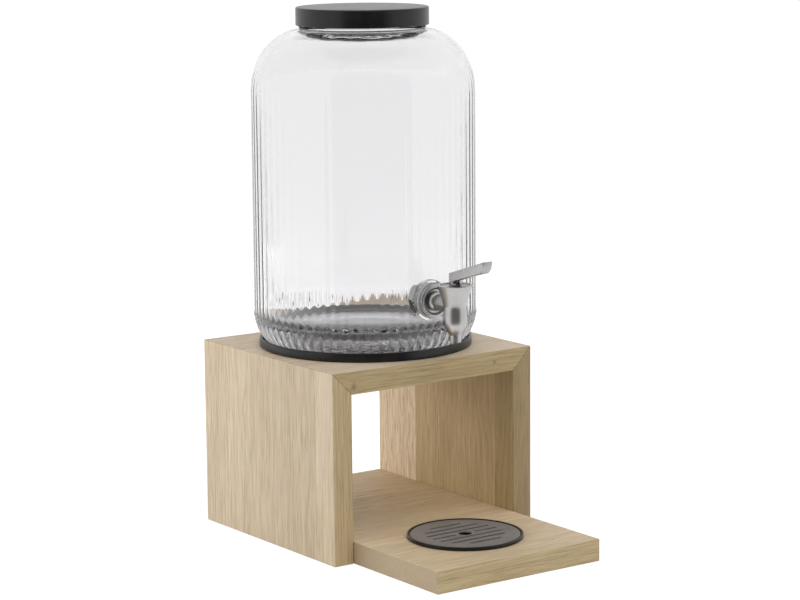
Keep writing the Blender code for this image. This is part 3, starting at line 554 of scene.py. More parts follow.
def oak_finish(name, oak, grain, staves, board_tone_and_painted_shade, edge_painted_light, seed, knots=()):
    """Solid oak, sawn from a log: rings round a pith, open pores along the grain, glued staves across Y.

    Grain is the axis that the board's grain runs along, X or Z. Each stave has the Y that it starts at,
    its tone, how coarse its grain is and how much of the board's face tone it takes. On the right and base
    boards the stave tones are painted light and shade, the right board's face tone is painted shade, and
    the edge tone is painted light and shade on the faces that point along Y.
    """
    made, tree, shader = new_material(name)
    place = object_place(tree)
    parts = add(tree, "ShaderNodeSeparateXYZ", {"Vector": place})
    along = parts.outputs[grain]
    through = parts.outputs["Z" if grain == "X" else "X"]
    across = parts.outputs["Y"]

    low, high = stand_low.y, stand_high.y
    spot = calc(tree, "DIVIDE", calc(tree, "SUBTRACT", across, low), high - low)
    bands = add(tree, "ShaderNodeValToRGB", {"Fac": spot})
    bands.color_ramp.interpolation = "CONSTANT"
    while len(bands.color_ramp.elements) < len(staves):
        bands.color_ramp.elements.new(0.5)
    for element, (first, tone, coarse, stave_share_of_board_tone) in zip(bands.color_ramp.elements, staves):
        element.position = max(0.0, (first - low) / (high - low))
        element.color = (tone / 2, coarse, stave_share_of_board_tone, 1.0)
    stave = add(tree, "ShaderNodeSeparateColor", {"Color": bands.outputs["Color"]})
    # Painted light and shade: on the right board the stave tone darkens the front and lightens the back, and
    # on the base board it lightens the middle and the back.
    stave_tone_with_painted_light = calc(tree, "MULTIPLY", stave.outputs["Red"], 2.0)
    coarse = stave.outputs["Green"]
    number = calc(tree, "MULTIPLY_ADD", stave.outputs["Red"], 91.7, seed)
    chance = add(tree, "ShaderNodeTexWhiteNoise", {"W": number}, noise_dimensions="1D")
    chances = add(tree, "ShaderNodeSeparateColor", {"Color": chance.outputs["Color"]})

    board_place = add(tree, "ShaderNodeCombineXYZ", {"X": along, "Y": across, "Z": through}).outputs[0]
    shift = add(
        tree, "ShaderNodeCombineXYZ", {"X": number, "Y": chances.outputs["Red"], "Z": seed}
    ).outputs[0]
    own_place = add(tree, "ShaderNodeVectorMath", {0: board_place, 1: shift}, operation="ADD").outputs[0]

    waves = noise(tree, stretched(tree, own_place, (28.0, 60.0, 60.0)), 1.0, 2.0)
    waves = calc(tree, "MULTIPLY", calc(tree, "MULTIPLY", calc(tree, "SUBTRACT", waves, 0.5), 0.007), coarse)
    wander = noise(tree, stretched(tree, own_place, (2.2, 9.0, 9.0)), 1.0, 3.0)
    wander = calc(tree, "MULTIPLY_ADD", calc(tree, "SUBTRACT", wander, 0.5), 0.030, waves)
    lean = calc(tree, "MULTIPLY", calc(tree, "SUBTRACT", chances.outputs["Blue"], 0.5), 0.10)
    pith_side = calc(tree, "MULTIPLY_ADD", chances.outputs["Red"], 0.30, -0.09)
    pith_depth = calc(tree, "MULTIPLY_ADD", chances.outputs["Green"], 0.07, 0.035)
    side = calc(tree, "SUBTRACT", calc(tree, "MULTIPLY_ADD", along, lean, across), pith_side)
    deep = calc(tree, "ADD", through, pith_depth)
    squares = calc(tree, "ADD", calc(tree, "POWER", side, 2.0), calc(tree, "POWER", deep, 2.0))
    reach = calc(tree, "SQRT", squares)
    for knot, size in knots:
        apart = add(tree, "ShaderNodeVectorMath", {0: place, 1: knot}, operation="DISTANCE").outputs["Value"]
        swell = calc(tree, "EXPONENT", calc(tree, "MULTIPLY", apart, -1.0 / size))
        reach = calc(tree, "MULTIPLY_ADD", swell, 2.0 * size, reach)
    rings = calc(tree, "DIVIDE", calc(tree, "ADD", reach, wander), oak.ring_width)
    ring = calc(tree, "FRACT", rings)
    ring_tone = ramp(tree, ring, (0.0, 0.30), (0.25, 0.55), (0.62, 0.85), (0.93, 0.95), (1.0, 0.45))

    bend = calc(tree, "MULTIPLY", waves, 0.6)
    bent = add(tree, "ShaderNodeCombineXYZ", {"Y": bend, "Z": bend}).outputs[0]
    grain_place = add(tree, "ShaderNodeVectorMath", {0: own_place, 1: bent}, operation="ADD").outputs[0]
    streaks = noise(tree, stretched(tree, grain_place, (11.0, 480.0, 480.0)), 1.0, 4.0, 0.65)
    streaks = ramp(tree, streaks, (0.34, 0.0), (0.68, 1.0))
    fine = noise(tree, stretched(tree, grain_place, (38.0, 1150.0, 1150.0)), 1.0, 2.0)
    cloud = noise(tree, stretched(tree, own_place, (4.0, 26.0, 26.0)), 1.0, 3.0)
    early = ramp(tree, ring, (0.0, 1.0), (0.35, 0.65), (0.6, 0.45), (1.0, 0.8))
    pores = calc(tree, "MULTIPLY", ramp(tree, fine, (0.50, 0.0), (0.64, 1.0)), early)

    tone = calc(tree, "MULTIPLY_ADD", ring_tone, 0.30, calc(tree, "MULTIPLY", streaks, 0.50))
    tone = calc(tree, "ADD", tone, calc(tree, "MULTIPLY", calc(tree, "SUBTRACT", cloud, 0.5), 0.8))
    shade = ramp(tree, tone, (0.05, tuple(oak.dark)), (0.80, tuple(oak.light)))
    pore_share = calc(tree, "MULTIPLY_ADD", coarse, 0.45, 0.40)
    shade = blend_colour(tree, calc(tree, "MULTIPLY", pores, pore_share), shade, (*oak.pore, 1.0))
    # The stave tone as a colour; on the right and base boards it carries painted light and shade.
    tint = add(
        tree, "ShaderNodeCombineColor", {"Red": stave_tone_with_painted_light, "Green": stave_tone_with_painted_light, "Blue": stave_tone_with_painted_light}
    ).outputs[0]
    shade = blend_colour(tree, 1.0, shade, tint, "MULTIPLY")
    normal = tree.nodes.new("ShaderNodeNewGeometry").outputs["Normal"]
    facing = add(tree, "ShaderNodeSeparateXYZ", {"Vector": normal})
    # Painted light and shade: faces that point along Y take the board's edge tone in place of its face tone.
    painted_edge_mask = calc(tree, "POWER", calc(tree, "ABSOLUTE", facing.outputs["Y"]), 4.0)
    # The stave's share of its board's face tone; the right board's warm, dark face tone is painted shade.
    face = blend_colour(tree, stave.outputs["Blue"], (1.0, 1.0, 1.0, 1.0), (*board_tone_and_painted_shade, 1.0))
    tone_with_painted_edges = blend_colour(tree, painted_edge_mask, face, (*edge_painted_light, 1.0))
    shade = blend_colour(tree, 1.0, shade, tone_with_painted_edges, "MULTIPLY")
    for knot, size in knots:
        apart = add(tree, "ShaderNodeVectorMath", {0: place, 1: knot}, operation="DISTANCE").outputs["Value"]
        mark = ramp(tree, calc(tree, "DIVIDE", apart, size), (0.15, 0.75), (0.45, 0.30), (1.0, 0.0))
        shade = blend_colour(tree, mark, shade, (0.26, 0.145, 0.085, 1.0))
    end_grain = calc(tree, "POWER", calc(tree, "ABSOLUTE", facing.outputs[grain]), 4.0)
    shade = blend_colour(tree, calc(tree, "MULTIPLY", end_grain, 0.65), shade, (0.40, 0.31, 0.21, 1.0))
    tree.links.new(shade, shader.inputs["Base Color"])
    vary(tree, shader, "Roughness", pores, 0.50, 0.72)
    shader.inputs["Specular IOR Level"].default_value = 0.30
    height = calc(tree, "MULTIPLY_ADD", pores, -1.0, calc(tree, "MULTIPLY", streaks, 0.35))
    bump(tree, shader, height, oak.pore_depth)
    return made


def plain_wood(name, tone):
    """Plain beech, for the pieces inside the joints."""
    made, tree, shader = new_material(name)
    place = object_place(tree)
    flecks = noise(tree, stretched(tree, place, (300.0, 90.0, 300.0)), 1.0, 3.0)
    shade = ramp(tree, flecks, (0.35, tuple(part * 0.8 for part in tone)), (0.65, tone))
    tree.links.new(shade, shader.inputs["Base Color"])
    vary(tree, shader, "Roughness", flecks, 0.55, 0.7)
    bump(tree, shader, flecks, 0.0001)
    return made


def clear_glass(name, tint, stippled_radius):
    """Clear pressed glass with a slow ripple and a stippled bottom. Lamps shine through it."""
    made, tree, shader = new_material(name)
    # The tint is partly the glass's own colour and partly painted shade, greying the jar in place of the
    # darker room that it reflects.
    shader.inputs["Base Color"].default_value = (*tint, 1.0)
    shader.inputs["Transmission Weight"].default_value = 1.0
    shader.inputs["IOR"].default_value = 1.5
    place = object_place(tree)
    ripple = noise(tree, stretched(tree, place, (30.0, 30.0, 16.0)), 1.0, 2.0)
    parts = add(tree, "ShaderNodeSeparateXYZ", {"Vector": place})
    flat = add(tree, "ShaderNodeCombineXYZ", {"X": parts.outputs["X"], "Y": parts.outputs["Y"]}).outputs[0]
    radius = add(tree, "ShaderNodeVectorMath", {0: flat}, operation="LENGTH").outputs["Value"]
    height = parts.outputs["Z"]
    stippled = calc(tree, "MULTIPLY", calc(tree, "LESS_THAN", radius, stippled_radius),
                    calc(tree, "LESS_THAN", height, 0.004))
    cells = add(tree, "ShaderNodeTexVoronoi", {"Vector": flat, "Scale": 430.0}, feature="SMOOTH_F1")
    dimples = calc(tree, "MULTIPLY", cells.outputs["Distance"], stippled)
    relief = calc(tree, "MULTIPLY_ADD", dimples, 2.4, calc(tree, "MULTIPLY", ripple, 0.5))
    bump(tree, shader, relief, 0.0004, 0.7)
    film = noise(tree, place, 60.0, 3.0)
    vary(tree, shader, "Roughness", film, 0.0, 0.012)
    clear = add(tree, "ShaderNodeBsdfTransparent", {"Color": (*[part ** 0.5 for part in tint], 1.0)})
    path = tree.nodes.new("ShaderNodeLightPath")
    mixed = add(
        tree, "ShaderNodeMixShader",
        {0: path.outputs["Is Shadow Ray"], 1: shader.outputs["BSDF"], 2: clear.outputs["BSDF"]},
    )
    tree.links.new(mixed.outputs[0], tree.nodes["Material Output"].inputs["Surface"])
    return made


def satin_steel(name, tone, turned=True, rough=0.30):
    """Satin steel: fine lines round the object's axis where it's turned, or else along it."""
    made, tree, shader = new_material(name)
    place = object_place(tree)
    if turned:
        parts = add(tree, "ShaderNodeSeparateXYZ", {"Vector": place})
        flat = add(
            tree, "ShaderNodeCombineXYZ", {"X": parts.outputs["X"], "Y": parts.outputs["Y"]}
        ).outputs[0]
        radius = add(tree, "ShaderNodeVectorMath", {0: flat}, operation="LENGTH").outputs["Value"]
        lines_place = add(tree, "ShaderNodeCombineXYZ", {"X": radius, "Z": parts.outputs["Z"]}).outputs[0]
        lines = noise(tree, stretched(tree, lines_place, (2600.0, 1.0, 2600.0)), 1.0, 2.0)
    else:
        lines = noise(tree, stretched(tree, place, (2600.0, 120.0, 2600.0)), 1.0, 2.0)
    blotches = noise(tree, place, 260.0, 3.0)
    shade = ramp(tree, blotches, (0.3, tuple(part * 0.90 for part in tone)), (0.7, tuple(tone)))
    tree.links.new(shade, shader.inputs["Base Color"])
    shader.inputs["Metallic"].default_value = 1.0
    wear = calc(tree, "MULTIPLY_ADD", lines, 0.6, calc(tree, "MULTIPLY", blotches, 0.4))
    vary(tree, shader, "Roughness", wear, rough - 0.06, rough + 0.10)
    shader.inputs["Anisotropic"].default_value = 0.35
    bump(tree, shader, wear, 0.00002, 0.6)
    return made


def matt_coat(name, tone, rough=0.31, grain_scale=1500.0):
    """Powder coat: a fine, even orange peel with slightly worn, paler specks."""
    made, tree, shader = new_material(name)
    place = object_place(tree)
    peel = noise(tree, place, grain_scale, 2.0)
    dust = noise(tree, place, 90.0, 4.0)
    worn = tuple(min(1.0, part * 1.25 + 0.004) for part in tone)
    shade = ramp(tree, dust, (0.35, tuple(tone)), (0.75, worn))
    tree.links.new(shade, shader.inputs["Base Color"])
    vary(tree, shader, "Roughness", dust, rough - 0.05, rough + 0.08)
    shader.inputs["Specular IOR Level"].default_value = 0.38
    bump(tree, shader, peel, 0.00003, 0.7)
    return made


def soft_silicone(name, tone, clear=0.0):
    """Silicone rubber, faintly cloudy, with a moulded bloom."""
    made, tree, shader = new_material(name)
    place = object_place(tree)
    cloud = noise(tree, place, 180.0, 3.0)
    shade = ramp(tree, cloud, (0.3, tuple(part * 0.93 for part in tone)), (0.7, tuple(tone)))
    tree.links.new(shade, shader.inputs["Base Color"])
    shader.inputs["Transmission Weight"].default_value = clear
    shader.inputs["IOR"].default_value = 1.41
    vary(tree, shader, "Roughness", cloud, 0.30, 0.45)
    bump(tree, shader, cloud, 0.00005)
    return made


# The oak stand


class DISPENSER_OT_stand(bpy.types.Operator):
    """Finish the four oak boards of the stand"""
    bl_idname = "dispenser.stand"
    bl_label = "Oak Stand"

    def execute(self, context):
        oak = context.scene.dispenser.oak
        top_low, top_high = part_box("top_panel")
        edge_z = (top_low.z + top_high.z) / 2
        knots = (
            (Vector((top_high.x * 0.62, top_low.y, edge_z)), 0.0030),
            (Vector((top_low.x * 0.80, top_low.y, edge_z - 0.003)), 0.0045),
        )
        # Each board's face tone, which on the right board is painted shade, and its edge tone, which is
        # painted light and shade on the faces that point along Y.
        boards = (
            ("left_side_panel", "Z", left_staves, (0.94, 0.96, 0.97), (0.97, 0.94, 0.77), 3.0, ()),
            ("right_side_panel", "Z", right_staves_painted_shade, (0.98, 0.90, 0.62), (1.05, 0.97, 0.77), 11.0, ()),
            ("top_panel", "X", top_staves, (1.09, 1.11, 1.16), (0.91, 0.87, 0.67), 23.0, knots),
            ("base_board", "X", base_staves_painted_light, (1.03, 1.02, 0.96), (1.07, 1.05, 0.86), 37.0, ()),
        )
        for name, grain, staves, board_tone_and_painted_shade, edge_painted_light, seed, spots in boards:
            finish = oak_finish(f"oak_{name}", oak, grain, staves, board_tone_and_painted_shade, edge_painted_light, seed, spots)
            finish_node(name, finish)
        return {"FINISHED"}


class DISPENSER_OT_joinery(bpy.types.Operator):
    """Finish the beech biscuits and dowels inside the stand's joints"""
    bl_idname = "dispenser.joinery"
    bl_label = "Biscuits and Dowels"

    def execute(self, context):
        finish = plain_wood("beech", (0.62, 0.45, 0.29))
        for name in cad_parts:
            if name.startswith(("mitre_biscuit", "base_dowel")):
                finish_node(name, finish)
        return {"FINISHED"}


# The jar and its lid


def flute_share(jar, height):
    """How much of the flutes' depth shows at a height above the jar's foot."""
    shoulder_start = jar_height - jar.neck_height - jar.shoulder_height
    top = shoulder_start + jar.flute_top_fade / 2
    from_foot = min(1.0, height / jar.flute_foot_fade)
    from_top = min(1.0, max(0.0, (top - height) / jar.flute_top_fade))
    up = min(1.0, max(0.0, (height - jar.heel_height) / (top - jar.heel_height)))
    wall_share = jar.upper_share + (1.0 - jar.upper_share) * (1.0 - up) ** 2
    return from_foot * wall_share * from_top * from_top * (3.0 - 2.0 * from_top)


def petal(jar, height, turn, ridge):
    """How far the round-topped petal at the heel stands out at a point."""
    from_middle = abs((jar.flute_count * turn / (2 * math.pi) + 0.5) % 1.0 - 0.5) * 2
    arch = jar.petal_height - jar.petal_arch * (1.0 - math.sqrt(max(0.0, 1.0 - from_middle ** 2)))
    inside = min(1.0, max(0.0, (arch - height) / jar.petal_edge))
    foot_share = min(1.0, height / jar.flute_foot_fade)
    return jar.petal_rise * inside * inside * (3.0 - 2.0 * inside) * foot_share * math.sqrt(ridge)


def jar_outline(jar):
    """Outside and inside of the glass, from the middle of the foot over the lip to the jar's floor."""
    foot = jar_radius - jar.heel_inset
    margin = foot - jar.punt_margin
    neck_start = jar_height - jar.neck_height
    shoulder_start = neck_start - jar.shoulder_height
    mouth = jar.neck_radius - jar.wall
    inner = jar_radius - jar.wall
    outside = [(0.0, jar.punt_rise)]
    punt_steps = 6
    for step in range(1, punt_steps):
        part = step / punt_steps
        outside.append((margin * part, jar.punt_rise * (1.0 + math.cos(math.pi * part)) / 2))
    ring_steps = 12
    for step in range(ring_steps):
        outside.append((margin + jar.punt_margin * step / ring_steps, 0.0))
    outside += arc((foot, jar.heel_height), (jar.heel_inset, jar.heel_height), -90, 0, 34)
    wall_steps = 14
    for step in range(1, wall_steps):
        height = jar.heel_height + (shoulder_start - jar.heel_height) * step / wall_steps
        outside.append((jar_radius, height))
    outside += arc(
        (jar.neck_radius, shoulder_start), (jar_radius - jar.neck_radius, jar.shoulder_height), 0, 90, 18
    )[:-1]
    bead_middle = (jar.neck_radius, neck_start + jar.bead_height / 2)
    outside += arc(bead_middle, (jar.bead_reach, jar.bead_height / 2), -90, 90, 8)
    lip_z = jar_height - jar.lip
    outside += arc((jar.neck_radius - jar.lip, lip_z), (jar.lip, jar.lip), 0, 90, 4)
    inside = arc((mouth + jar.lip, lip_z), (jar.lip, jar.lip), 90, 180, 4)
    inside += arc(
        (mouth, shoulder_start), (inner - mouth, jar.shoulder_height - jar.wall), 90, 0, 12
    )
    inside += arc(
        (jar.bowl_radius, jar.heel_height), (inner - jar.bowl_radius, jar.heel_height - jar.floor), 0, -90, 20
    )
    inside += [(jar.bowl_radius * 0.5, jar.floor), (0.0, jar.floor)]
    return outside, inside


class DISPENSER_OT_jar(bpy.types.Operator):
    """Make the fluted glass jar with its boss and tap hole"""
    bl_idname = "dispenser.jar"
    bl_label = "Glass Jar"

    def execute(self, context):
        jar = context.scene.dispenser.jar
        outside, inside = jar_outline(jar)
        foot = jar_radius - jar.heel_inset
        margin = foot - jar.punt_margin
        segments = 10
        dimples = 2 * jar.flute_count
        dimple_pitch = jar.punt_margin / 3

        def flute(row, radius, height, turn):
            if row >= len(outside):
                return radius, height
            if height <= 0.0 and radius > margin:
                rise = (1.0 - math.cos(2 * math.pi * (radius - margin) / dimple_pitch)) / 2
                rise *= (1.0 + math.cos(dimples * turn)) / 2
                return radius, jar.stipple_depth * rise
            if radius <= margin:
                return radius, height
            ridge = abs(math.cos(jar.flute_count * turn / 2))
            heel = min(1.0, max(0.0, (jar.petal_height - height) / jar.petal_arch))
            valley = heel * jar.heel_depth * (1.0 - ridge)
            valley += (1.0 - heel) * jar.flute_depth * (1.0 - ridge ** 2)
            return radius - valley * flute_share(jar, height) + petal(jar, height, turn, ridge), height

        bm = lathe(outside + inside, jar.flute_count * segments, flute)
        piece = to_object("fluted_jar", bm, jar_spot)
        pad_reach = boss_reach - jar.boss_thickness
        boss = eased(rod(jar.boss_radius, pad_reach, boss_reach), 0.0006)
        combine(piece, turn_out(lathe(boss, 96)), "UNION", shank_spot)
        overrun = jar.wall
        hole = rod(jar.hole_radius, pad_reach - overrun, boss_reach + overrun)
        combine(piece, turn_out(lathe(hole, 64)), "DIFFERENCE", shank_spot)
        finish = clear_glass("jar_glass", jar.tint, foot)
        dress(piece, finish, "jar", "clear_glass", "glass_jar", crease=40)
        return {"FINISHED"}


class DISPENSER_OT_lid(bpy.types.Operator):
    """Make the black lid and the soft seal inside it"""
    bl_idname = "dispenser.lid"
    bl_label = "Lid"

    def execute(self, context):
        coat = context.scene.dispenser.coat
        low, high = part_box("lid_shell")
        radius = half_width("lid_shell")
        inner = radius - coat.lid_wall
        top = high.z - low.z
        outline = [(0.0, top - coat.lid_wall)]
        inner_corner = (inner - coat.lid_edge, top - coat.lid_wall - coat.lid_edge)
        outline += arc(inner_corner, (coat.lid_edge,) * 2, 90, 0, 6)
        outline += [(inner, 0.0002), (inner + 0.0002, 0.0), (radius - 0.0003, 0.0), (radius, 0.0003)]
        outline += arc((radius - coat.lid_edge, top - coat.lid_edge), (coat.lid_edge,) * 2, 0, 90, 8)
        outline += [(radius * 0.5, top), (0.0, top)]
        lid = to_object("lid_cap", lathe(outline, 192), Vector((0.0, jar_spot.y, low.z)))
        dress(lid, matt_coat("lid_coat", coat.black), "lid", "black_coat", "lid_shell")

        low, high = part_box("lid_seal")
        flange = half_width("lid_seal")
        jar = context.scene.dispenser.jar
        skirt = jar.neck_radius - jar.wall - 0.0006
        inner = skirt - 0.002
        flange_z = high.z - low.z - 0.0026
        top = high.z - low.z
        outline = [
            (inner, 0.0), (skirt, 0.0), (skirt, flange_z), (flange, flange_z), (flange, top), (inner, top),
        ]
        seal = to_object("lid_gasket", lathe(eased(outline, 0.0006), 144), Vector((0.0, jar_spot.y, low.z)))
        dress(seal, soft_silicone("seal_silicone", coat.silicone), "lid", "white_silicone", "lid_seal")
        return {"FINISHED"}


class DISPENSER_OT_dish(bpy.types.Operator):
    """Make the black dish that the jar stands in"""
    bl_idname = "dispenser.dish"
    bl_label = "Base Dish"

    def execute(self, context):
        coat = context.scene.dispenser.coat
        low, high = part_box("base_dish")
        outer = half_width("base_dish")
        inner = outer - coat.dish_wall
        top = high.z - low.z
        edge = coat.dish_wall * 0.3
        outline = [(0.0, 0.0), (outer - 0.0004, 0.0), (outer, 0.0004)]
        outline += arc((outer - edge, top - edge), (edge, edge), 0, 90, 5)
        outline += arc((inner + edge, top - edge), (edge, edge), 90, 180, 5)
        outline += arc((inner - 0.001, coat.dish_floor + 0.001), (0.001, 0.001), 0, -90, 4)
        outline += [(inner * 0.5, coat.dish_floor), (0.0, coat.dish_floor)]
        dish = to_object("jar_dish", lathe(outline, 192), Vector((0.0, jar_spot.y, low.z)))
        dress(dish, matt_coat("dish_coat", coat.black), "dish", "black_coat", "base_dish")
        return {"FINISHED"}


# The tap


def reaches(node):
    """How far a piece on the shank reaches from the jar's axis, least and most."""
    low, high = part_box(node)
    return jar_spot.y - high.y, jar_spot.y - low.y


def on_shank(name, outline, sides, finish, slot, node, ease=0.0003):
    """Make a round piece on the shank. Its heights are reaches from the jar's axis."""
    bm = turn_out(lathe(eased(outline, ease), sides))
    piece = to_object(name, bm, shank_spot)
    return dress(piece, finish, "jar", slot, node)


class DISPENSER_OT_shank_pieces(bpy.types.Operator):
    """Make the washers, the dished rose and the lock nut on the tap's shank"""
    bl_idname = "dispenser.shank_pieces"
    bl_label = "Washers, Rose and Nut"

    def execute(self, context):
        tap = context.scene.dispenser.tap
        coat = context.scene.dispenser.coat
        bore = tap.shank_radius + tap.fit
        steel = satin_steel("rose_steel", tap.steel)
        silicone = soft_silicone("washer_silicone", coat.silicone, clear=0.55)
        for name, node, finish, slot in (
            ("glass_washer", "outer_washer", silicone, "clear_silicone"),
            ("inside_washer", "inner_washer", silicone, "clear_silicone"),
            ("backing_washer", "plate_washer", steel, "brushed_steel"),
        ):
            low, high = reaches(node)
            on_shank(name, tube(bore, half_width(node), low, high), 96, finish, slot, node)

        low, high = reaches("tap_escutcheon")
        radius = half_width("tap_escutcheon")
        rim = high - tap.rose_step
        step_width = (radius - tap.collar_radius - tap.rose_step) * 0.27
        dish_foot = tap.collar_radius + tap.rose_step
        outline = [
            (bore, low),
            (radius, low),
            (radius, rim),
            (radius - step_width, rim),
            (radius - step_width, high),
            (radius - 2 * step_width, high),
        ]
        dish_steps = 6
        for number in range(1, dish_steps + 1):
            part = number / dish_steps
            down = math.sin(math.pi / 2 * part)
            outline.append((
                radius - 2 * step_width + (dish_foot - radius + 2 * step_width) * part,
                high + (low + tap.rose_seat - high) * down,
            ))
        outline.append((bore, low + tap.rose_seat))
        on_shank("tap_rose", outline, 128, steel, "brushed_steel", "tap_escutcheon", 0.00045)

        low, high = reaches("lock_nut")
        nut_radius = half_width("lock_nut")
        outline = [
            (0.0, low),
            (nut_radius * 0.88, low),
            (nut_radius, low + nut_radius * 0.07),
            (nut_radius, high - nut_radius * 0.07),
            (nut_radius * 0.88, high),
            (0.0, high),
        ]
        hexagon = rod(nut_radius, low, high)
        nut = to_object("shank_nut", turn_out(lathe(hexagon, 6)), shank_spot)
        combine(nut, turn_out(lathe(outline, 96)), "INTERSECT")
        combine(nut, turn_out(lathe(rod(bore, low - 0.001, high + 0.001), 64)), "DIFFERENCE")
        dress(nut, steel, "jar", "brushed_steel", "lock_nut", crease=25)
        return {"FINISHED"}


def goblet_outline(tap):
    """Outside of the tap body from the spout's mouth up to the rim, with heights from the shank's axis."""
    rim = tap_high.z - tap_spot.z
    mouth = tap_low.z - tap_spot.z
    waist = rim - tap.waist_drop
    belly = rim - tap.belly_drop
    outline = [(0.0, mouth), (tap.spout_radius - tap.rim_edge, mouth)]
    outline.append((tap.spout_radius, mouth + tap.rim_edge))
    bowl_steps = 22
    for step in range(bowl_steps + 1):
        down = 1.0 - step / bowl_steps
        swell = math.cos(math.pi / 2 * down ** 1.35)
        radius = tap.spout_radius + (tap.belly_radius - tap.spout_radius) * swell
        outline.append((radius, belly - tap.bowl_height * down))
    waist_steps = 8
    for step in range(1, waist_steps + 1):
        up = step / waist_steps
        mix = (1.0 - math.cos(math.pi * up)) / 2
        radius = tap.belly_radius + (tap.waist_radius - tap.belly_radius) * mix
        outline.append((radius, belly + (waist - belly) * up))
    flare_steps = 14
    flare_height = tap.waist_drop - tap.rim_edge
    for step in range(1, flare_steps + 1):
        up = step / flare_steps
        radius = tap.waist_radius + (tap_rim_radius - tap.waist_radius) * up ** 1.25
        outline.append((radius, waist + flare_height * up))
    outline += arc((tap_rim_radius - tap.rim_edge, rim - tap.rim_edge), (tap.rim_edge,) * 2, 30, 90, 3)
    return outline + [(0.0, rim)]


class DISPENSER_OT_tap_body(bpy.types.Operator):
    """Make the goblet of the tap with its arm, collar and threaded shank"""
    bl_idname = "dispenser.tap_body"
    bl_label = "Tap Body"

    def execute(self, context):
        tap = context.scene.dispenser.tap
        sides = 96
        body = to_object("tap_goblet", lathe(goblet_outline(tap), sides), tap_spot)

        shank_end = jar_spot.y - tap_high.y
        rose_low = reaches("tap_escutcheon")[0]
        collar_start = rose_low + tap.rose_seat + tap.fit
        ball_start = math.degrees(math.acos(tap.shank_radius / tap.collar_radius))
        ball_end = math.degrees(math.acos(tap.arm_radius / tap.collar_radius))
        ball_reach = collar_start + tap.collar_length * math.sin(math.radians(ball_start))
        thread_end = rose_low
        rows_per_turn = 10
        rows = int((thread_end - shank_end) / tap.thread_pitch * rows_per_turn)
        arm = [(0.0, shank_end)]
        for row in range(rows + 1):
            arm.append((tap.shank_radius, shank_end + (thread_end - shank_end) * row / rows))
        arm += arc((0.0, ball_reach), (tap.collar_radius, tap.collar_length), -ball_start, ball_end, 18)
        arm += [(tap.arm_radius, jar_spot.y - tap_spot.y), (0.0, jar_spot.y - tap_spot.y)]

        def thread(row, radius, height, turn):
            if row > rows:
                return radius, height
            phase = ((height - shank_end) / tap.thread_pitch + turn / (2 * math.pi)) % 1.0
            groove = abs(2.0 * phase - 1.0)
            taper = min(1.0, (height - shank_end) / tap.thread_pitch)
            return radius - tap.thread_depth * max(groove, 1.0 - taper), height

        combine(body, turn_out(lathe(arm, sides, thread)), "UNION", shank_spot)
        rim = tap_high.z - tap_spot.z
        mouth = tap_low.z - tap_spot.z
        overrun = tap.fit
        recess = half_width("bonnet") + tap.fit
        cavity = [
            (0.0, mouth - overrun),
            (tap.outlet_radius + 0.0004, mouth - overrun),
            (tap.outlet_radius, mouth + 0.0004),
            (tap.outlet_radius, rim - tap.seat_drop - tap.seat_height),
            (tap.cavity_radius, rim - tap.seat_drop),
            (tap.cavity_radius, rim - tap.ledge_drop),
            (recess, rim - tap.ledge_drop),
            (recess, rim + overrun),
            (0.0, rim + overrun),
        ]
        combine(body, lathe(cavity, sides), "DIFFERENCE")
        passage = rod(tap.passage_radius, shank_end - overrun, jar_spot.y - tap_spot.y)
        combine(body, turn_out(lathe(passage, 48)), "DIFFERENCE", shank_spot)
        dress(body, satin_steel("tap_steel", tap.steel), "jar", "brushed_steel", "tap_body")
        return {"FINISHED"}


class DISPENSER_OT_valve(bpy.types.Operator):
    """Make the bonnet and the stem, and finish the gasket, the spring and the plug"""
    bl_idname = "dispenser.valve"
    bl_label = "Bonnet and Valve"

    def execute(self, context):
        tap = context.scene.dispenser.tap
        coat = context.scene.dispenser.coat
        steel = satin_steel("bonnet_steel", tap.steel)
        low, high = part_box("bonnet")
        radius = half_width("bonnet")
        stem_low, stem_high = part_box("valve_stem")
        bore = tap.stem_radius + tap.stem_play
        shift = tap_spot.z
        plate = high.z - tap.bonnet_flange
        outline = [
            (bore, low.z - shift),
            (tap.cavity_radius - tap.fit, low.z - shift),
            (tap.cavity_radius - tap.fit, plate - shift),
            (radius, plate - shift),
            (radius, high.z - shift),
            (bore, high.z - shift),
        ]
        bonnet = to_object("tap_bonnet", lathe(eased(outline, tap.bonnet_edge), 96), tap_spot)
        holes = 4
        for number in range(holes):
            turn = 2 * math.pi * (number + 0.21) / holes
            spot = tap_spot + Vector((math.cos(turn), math.sin(turn), 0.0)) * tap.hole_ring
            face = high.z - shift
            drill = lathe(rod(tap.hole_size, face - tap.hole_depth, face + tap.overrun), 24)
            combine(bonnet, drill, "DIFFERENCE", spot)
        dress(bonnet, steel, "jar", "brushed_steel", "bonnet")

        collar = half_width("valve_stem")
        collar_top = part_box("return_spring")[0].z - tap.fit
        collar_low = collar_top - tap.stem_collar
        outline = [
            (0.0, stem_low.z - shift),
            (tap.stem_tail, stem_low.z - shift),
            (tap.stem_tail, collar_low - shift),
            (collar, collar_low - shift),
            (collar, collar_top - shift),
            (tap.stem_radius, collar_top - shift),
            (tap.stem_radius, stem_high.z - shift),
            (0.0, stem_high.z - shift),
        ]
        stem = to_object("tap_stem", lathe(eased(outline, tap.stem_rounding), 64), tap_spot)
        eye = turn_across(lathe(rod(tap.pin_bore, -2 * collar, 2 * collar), 32))
        combine(stem, eye, "DIFFERENCE", pin_spot)
        # The stem's near-black colour makes the slot between the lever's legs dark.
        dress(stem, satin_steel("stem_steel", tap.dark_steel), "stem", "dark_steel", "valve_stem")

        silicone = soft_silicone("valve_silicone", coat.silicone)
        finish_node("bonnet_gasket", silicone)
        finish_node("valve_plug", silicone)
        finish_node("return_spring", steel)
        return {"FINISHED"}


